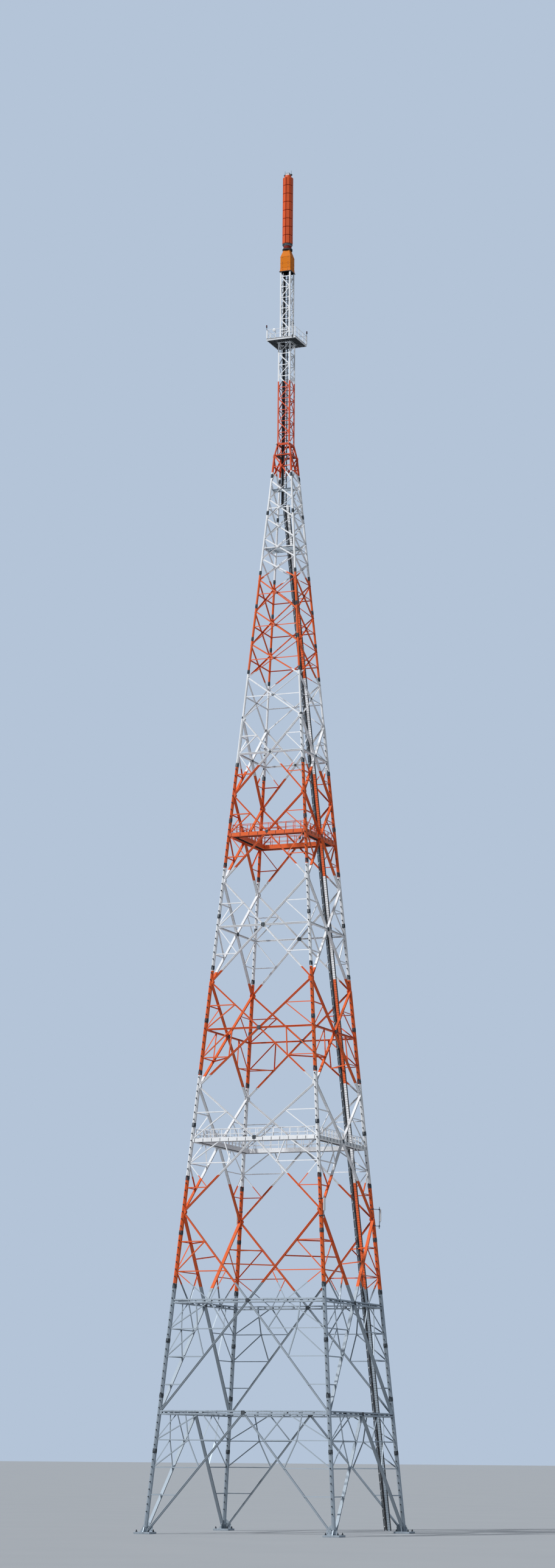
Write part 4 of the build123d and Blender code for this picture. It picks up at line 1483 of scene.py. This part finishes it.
# The climb run beside the back right leg: from the left a slim guide rail, black cables on
# cross bars, and a ladder with a painted back strip
climb = {
    "bottom": 30,
    "top": 11900,
    "insetY": 144,
    "ladderInset": 124,
    "ladderWidth": 42,
    "ladderRail": (12, 3, 1.2),
    "stripShift": -0.5,
    "strip": (23, 1.6),
    "shaftStrip": (18, 1.6),
    "rungBottom": 54,
    "rungPitch": 27,
    "rung": 10,
    "trayInset": 165,
    "trayWidth": 34,
    "trayRail": (11, 3, 1.2),
    "hook": (7, 5, 16),
    "crossBottom": 70,
    "crossPitch": 98,
    "shaftLadderX": -8.4,
}
crossLevels = range(climb["crossBottom"], climb["top"], climb["crossPitch"])


def climbSpot(inset, level, forward=0):
    return point(half(level) - inset, half(level) - climb["insetY"] - forward, level)


def climbBar(section, inset, facing, forward=0):
    ends = [climbSpot(inset, climb[end], forward) for end in ("bottom", "top")]
    return barBetween(section, *ends, facing)


def makeLadder():
    inset, wide, top, shaftX = (climb[key] for key in ("ladderInset", "ladderWidth", "top", "shaftLadderX"))
    bars = {
        "rail": makeChannel("ladder rail", *climb["ladderRail"], "bands"),
        "darkRail": makeChannel("dark ladder rail", *climb["ladderRail"], "darkZinc"),
        "strip": makeFlat("back strip", *climb["strip"], "bands"),
        "shaftStrip": makeFlat("shaft strip", *climb["shaftStrip"], "bands"),
        "rung": makeBlock("rung", (wide - 4, 3, climb["rung"]), (0, 0, 0), "bands", 0),
        "darkRung": makeBlock("dark rung", (wide - 4, 3, 3), (0, 0, 0), "darkZinc", 0),
        "rungEnd": makeBlock("rung end", (5, 5, climb["rung"] - 2), (0, 0, 0), "darkZinc", 0),
    }
    parts, reach = [], wide / 2 - 2
    for hand, rail in ((-1, "rail"), (1, "darkRail")):
        x, facing = shaftX + hand * reach, toRight * hand
        parts.append(climbBar(bars[rail], inset - hand * reach, facing))
        parts.append(barBetween(bars["darkRail"], point(x, 0, top + 2), point(x, 0, upperShaft["top"] - 2), facing))
    parts.append(climbBar(bars["strip"], inset + climb["stripShift"], toFront, -2))
    x = shaftX - (wide - climb["shaftStrip"][0]) / 2
    parts.append(barBetween(bars["shaftStrip"], point(x, 3, top + 2), point(x, 3, lowerShaft["top"]), toFront))
    for level in range(climb["rungBottom"], top, climb["rungPitch"]):
        centre = climbSpot(inset, level)
        parts += [copyAt(bars["rung"], centre), copyAt(bars["rungEnd"], centre + point(reach, -4, 0))]
    for level in range(top + 15, upperShaft["top"] - 10, climb["rungPitch"]):
        parts.append(copyAt(bars["darkRung"], point(shaftX, 0, level)))
    dropSources(*bars.values())
    placePiece(parts, "strip_ladder", "access_ladder")


def makeTray():
    inset, wide = climb["trayInset"], climb["trayWidth"]
    rail = makeChannel("guide rail", *climb["trayRail"], "darkZinc")
    bar = makeBlock("cross bar", (wide - 2, 3, 6), (0, 0, 0), "zinc", 0.6)
    hook = makeBlock("hook", climb["hook"], (6 - wide / 2, -5, 6), "aerial", 0.8)
    cross = joinPieces([bar, hook], "cross bar")
    parts = [climbBar(rail, inset - hand * (wide / 2 - 1.5), toRight * hand) for hand in (-1, 1)]
    parts += [copyAt(cross, climbSpot(inset, level)) for level in crossLevels]
    dropSources(rail, cross)
    placePiece(parts, "cable_rack", "cable_tray")


# Black cables lie side by side on the cross bars and wander a little between their clamps
cables = {
    "count": 5,
    "radius": 2.3,
    "pitch": 4.5,
    "shift": 6.5,
    "wander": 0.8,
    "clamp": (25, 8, 7),
    "riserRadius": 4,
    "riserReach": 7,
    "band": 12.5,
    "bandPitch": 140,
}


def makeCables():
    inset, top, x = climb["trayInset"], climb["top"], shaft["riserX"]
    cable = makeRod("cable", cables["radius"], "sheath")
    clamp = makeBlock("cable clamp", cables["clamp"], (0, 0, 0), "sheath")
    levels = list(range(climb["bottom"] + 10, top + 1, climb["crossPitch"] // 2)) + [top]
    parts = []
    for number in range(cables["count"]):
        across = cables["shift"] + (number - (cables["count"] - 1) / 2) * cables["pitch"]
        spots = []
        for step, level in enumerate(levels):
            sway = cables["wander"] * math.sin(step * 1.7 + number * 2.1)
            spots.append(climbSpot(inset - across - sway, level, 4))
        parts += [barBetween(cable, start, end, toFront) for start, end in zip(spots, spots[1:])]
    parts += [copyAt(clamp, climbSpot(inset - cables["shift"], level, 5)) for level in crossLevels]
    # In the shaft, six cables lie round a seventh
    for number in range(7):
        turn, reach = math.pi * number / 3, cables["riserReach"] if number < 6 else 0
        spot = (x + reach * math.cos(turn), reach * math.sin(turn))
        low, high = top + 2, upperShaft["top"] - 2
        parts.append(makeUpright("riser cable", cables["riserRadius"], *spot, low, high, "sheath", 10))
    for level in range(top + 60, upperShaft["top"], cables["bandPitch"]):
        parts.append(makeUpright("riser band", cables["band"], x, 0, level, level + 8, "darkZinc", 16))
    dropSources(cable, clamp)
    placePiece(parts, "feeder_cables", "cable_riser")


makeLadder()
makeTray()
makeCables()

# Rest landings: gratings in angle frames on the level bars, up to the ladder's front
landings = {
    "frame": (8, 8, 1.6),
    "bar": (1.6, 6),
    "barPitch": 11,
    "legGap": 9.3,
    "ladderFront": 6.3,
    "riserFront": -12.3,
}


def makeLanding(level, front, frameBar, bar):
    top, inner = level + 3.5, half(level + 4) - landings["legGap"] * stretchOut - landings["frame"][0] / 2
    outline = [(-inner, -inner), (inner, -inner), (inner, front - 4), (-inner, front - 4)]
    parts = []
    for start, end in zip(outline, outline[1:] + outline[:1]):
        parts.append(barBetween(frameBar, point(*start, top), point(*end, top), upwards))
    rows = round((front + inner) / landings["barPitch"])
    for row in range(1, rows):
        y = -inner + (front + inner) * row / rows
        parts.append(barBetween(bar, point(-inner, y, top - 2), point(inner, y, top - 2), upwards))
    for x in (-inner / 2, 0, inner / 2):
        parts.append(barBetween(bar, point(x, -inner, top - 3), point(x, front - 4, top - 3), upwards))
    return parts


def makeLandings():
    bars = [
        makeAngle("landing frame", *landings["frame"], "zinc"),
        makeFlat("landing bar", *landings["bar"], "zinc", -1),
    ]
    low, high = crossingLevel(*shortPanels[1:3]), crossingLevel(*shortPanels[4:6])
    lowFront = half(low) - climb["insetY"] - landings["ladderFront"] * stretchOut - 8 * taper
    parts = makeLanding(low, lowFront, *bars) + makeLanding(high, landings["riserFront"], *bars)
    dropSources(*bars)
    placePiece(parts, "landing_gratings", "rest_landings")


makeLandings()
print("radio mast: ladder, cables and landings fitted")

# Panel aerials on three legs: a pipe on two clamped arms, a slim pale radome and its feeder.
# They are built at the front left leg and turned to their corners.
aerials = {
    "bottom": 3414,
    "height": 250,
    "pipe": 5,
    "standOff": 70,
    "arm": 3.4,
    "armRise": 30,
    "clamp": 8.5,
    "feeder": 1.8,
    "radome": (14, 26, 140),
    "radomeRise": 82,
    # The corners with an aerial, and its radio boxes: how high up the pipe, and their size
    "boxes": {"front_right": [], "back_right": [], "back_left": [(34, (16, 20, 30)), (196, (14, 18, 24))]},
}


def outFrom(distance, level, across=0):
    return (-(distance + across) / math.sqrt(2), (across - distance) / math.sqrt(2), level)


def makeAerial(boxes):
    bottom, height, pipe, clamp, rise = (aerials[key] for key in ("bottom", "height", "pipe", "clamp", "radomeRise"))
    distance = math.sqrt(2) * half(bottom) + aerials["standOff"]
    parts = [makeTube("aerial pipe", pipe, outFrom(distance, bottom), outFrom(distance, bottom + height), "zinc", 14)]
    for level in (bottom + aerials["armRise"], bottom + height - aerials["armRise"]):
        radius = legWidth(level) / 2
        arm = outFrom(math.sqrt(2) * half(level) + radius - 2, level), outFrom(distance, level)
        parts += [
            makeTube("aerial arm", aerials["arm"], *arm, "darkZinc", 10),
            legTube("leg clamp", radius + 3, level - 6, level + 6, "darkZinc", 24),
            makeTube("pipe clamp", clamp, outFrom(distance, level - 7), outFrom(distance, level + 7), "darkZinc", 10),
        ]
    thick, _, tall = aerials["radome"]
    radome = makeBlock("aerial radome", aerials["radome"], (0, 0, 0), "aerial", 0)
    applyModifier(radome, "BEVEL", width=mm(4), segments=2, limit_method="NONE")
    parts.append(setAt(radome, outFrom(distance + pipe + thick / 2, bottom + rise + tall / 2), 45, "Z"))
    feeder = outFrom(distance - 9, bottom + 8, 4), outFrom(distance + 8, bottom + rise, 4)
    parts.append(makeTube("aerial feeder", aerials["feeder"], *feeder, "sheath", 8))
    for boxRise, size in boxes:
        box = makeBlock("radio box", size, (0, 0, 0), "aerial", 1.5)
        parts.append(setAt(box, outFrom(distance - 14, bottom + boxRise), 45, "Z"))
    return joinPieces(parts, "aerial")


def makeAerials():
    parts = []
    for corner, boxes in aerials["boxes"].items():
        aerial = makeAerial(boxes)
        parts.append(turned(aerial, "aerial", cornerTurns[corner]))
        dropSources(aerial)
    placePiece(parts, "panel_aerials", "leg_aerials")


makeAerials()
print("radio mast: aerials hung")

# The CAD nodes that stay get their finish here
nodeFinishes = {"ladder_brackets": "bands"}
for node, finish in nodeFinishes.items():
    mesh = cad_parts[node].data
    mesh.materials.clear()
    mesh.materials.append(finishes[finish])

# Floor, light and camera
screed = {"radius": 400, "patchSize": 1400, "dark": "#A9AEB3", "pale": "#B2B6BA"}
deselectAll()
bpy.ops.mesh.primitive_circle_add(vertices=96, radius=screed["radius"], fill_type="NGON", location=(0, 0, 0))
floor = bpy.context.object
floor.name = "floor"
# Pale concrete screed, floated: matt, with soft cloudy patches more than a metre across
floorFinish, floorShader, floorPlace = startFinish("floated pale screed", {"Roughness": 0.9})
cloudSize = {"Vector": floorPlace, "Scale": marks(screed["patchSize"])}
clouds = addNode(floorFinish, "ShaderNodeTexNoise", {**cloudSize, "Detail": 4}).outputs[0]
tints = {0: clouds, 6: linear(screed["dark"]), 7: linear(screed["pale"])}
floorTone = addNode(floorFinish, "ShaderNodeMix", tints, data_type="RGBA").outputs[2]
link(floorFinish, floorTone, floorShader, "Base Color")
floor.data.materials.append(floorFinish)

light = {
    "sunStrength": 2.9,
    "sunAngle": 4,
    "sunFrom": (-0.38, -0.64, 0.76),
    "skyStrength": 0.26,
    "sky": "#D7DEE6",
    "backdrop": "#B4C4D8",
}
deselectAll()
bpy.ops.object.light_add(type="SUN", location=(-10, -20, 30))
sun = bpy.context.object
sun.data.energy = light["sunStrength"]
sun.data.angle = math.radians(light["sunAngle"])
sun.rotation_euler = Vector(light["sunFrom"]).to_track_quat("Z", "Y").to_euler()

# The pale backdrop shows to the camera, in reflections and through glass, and lights nothing
world = bpy.data.worlds.new("pale sky")
bpy.context.scene.world = world
world.use_nodes = True
background = world.node_tree.nodes["Background"]
background.inputs["Color"].default_value = linear(light["sky"])
background.inputs["Strength"].default_value = light["skyStrength"]
backdrop = addNode(world, "ShaderNodeBackground", {"Color": linear(light["backdrop"]), "Strength": 1})
seen = addNode(world, "ShaderNodeLightPath").outputs
rays = {0: seen["Is Glossy Ray"], 1: seen["Is Transmission Ray"]}
mirrored = addNode(world, "ShaderNodeMath", rays, operation="MAXIMUM").outputs[0]
share = addNode(world, "ShaderNodeMath", {0: seen["Is Camera Ray"], 1: mirrored}, operation="MAXIMUM").outputs[0]
mixed = addNode(world, "ShaderNodeMixShader", {0: share, 1: background.outputs[0], 2: backdrop.outputs[0]})
link(world, mixed.outputs[0], world.node_tree.nodes["World Output"], "Surface")

# The photo's standpoint, from a fit to the leg joints: 373 m off and 8.4 m up, a tenth of it here
photo = {
    "width": 912,
    "height": 2576,
    "focal": 5364.51,
    "centreX": 465.02,
    "centreY": 1289.8,
    "distance": 37.27,
    "cameraHeight": 0.8377,
    "azimuth": 21.976,
    "pitch": 11.6257,
    "roll": -0.4809,
}
azimuth, pitch, roll = (math.radians(photo[key]) for key in ("azimuth", "pitch", "roll"))
level = Vector((math.cos(azimuth), math.sin(azimuth), 0))
ahead = Vector((-math.sin(azimuth), math.cos(azimuth), 0))
forward = ahead * math.cos(pitch) + upwards * math.sin(pitch)
upright = upwards * math.cos(pitch) - ahead * math.sin(pitch)
right = level * math.cos(roll) - upright * math.sin(roll)
top = level * math.sin(roll) + upright * math.cos(roll)
deselectAll()
bpy.ops.object.camera_add(location=upwards * photo["cameraHeight"] - ahead * photo["distance"])
camera = bpy.context.object
camera.matrix_world = Matrix.Translation(camera.location) @ Matrix([right, top, -forward]).transposed().to_4x4()
camera.data.sensor_fit = "VERTICAL"
camera.data.sensor_height = 36
camera.data.lens = photo["focal"] * camera.data.sensor_height / photo["height"]
camera.data.shift_x = (photo["width"] / 2 - photo["centreX"]) / photo["height"]
camera.data.shift_y = (photo["centreY"] - photo["height"] / 2) / photo["height"]
camera.data.clip_start = 0.5
camera.data.clip_end = 1000
bpy.context.scene.camera = camera
bpy.context.scene.view_settings.view_transform = "Standard"
print("radio mast: floor, light and camera set")
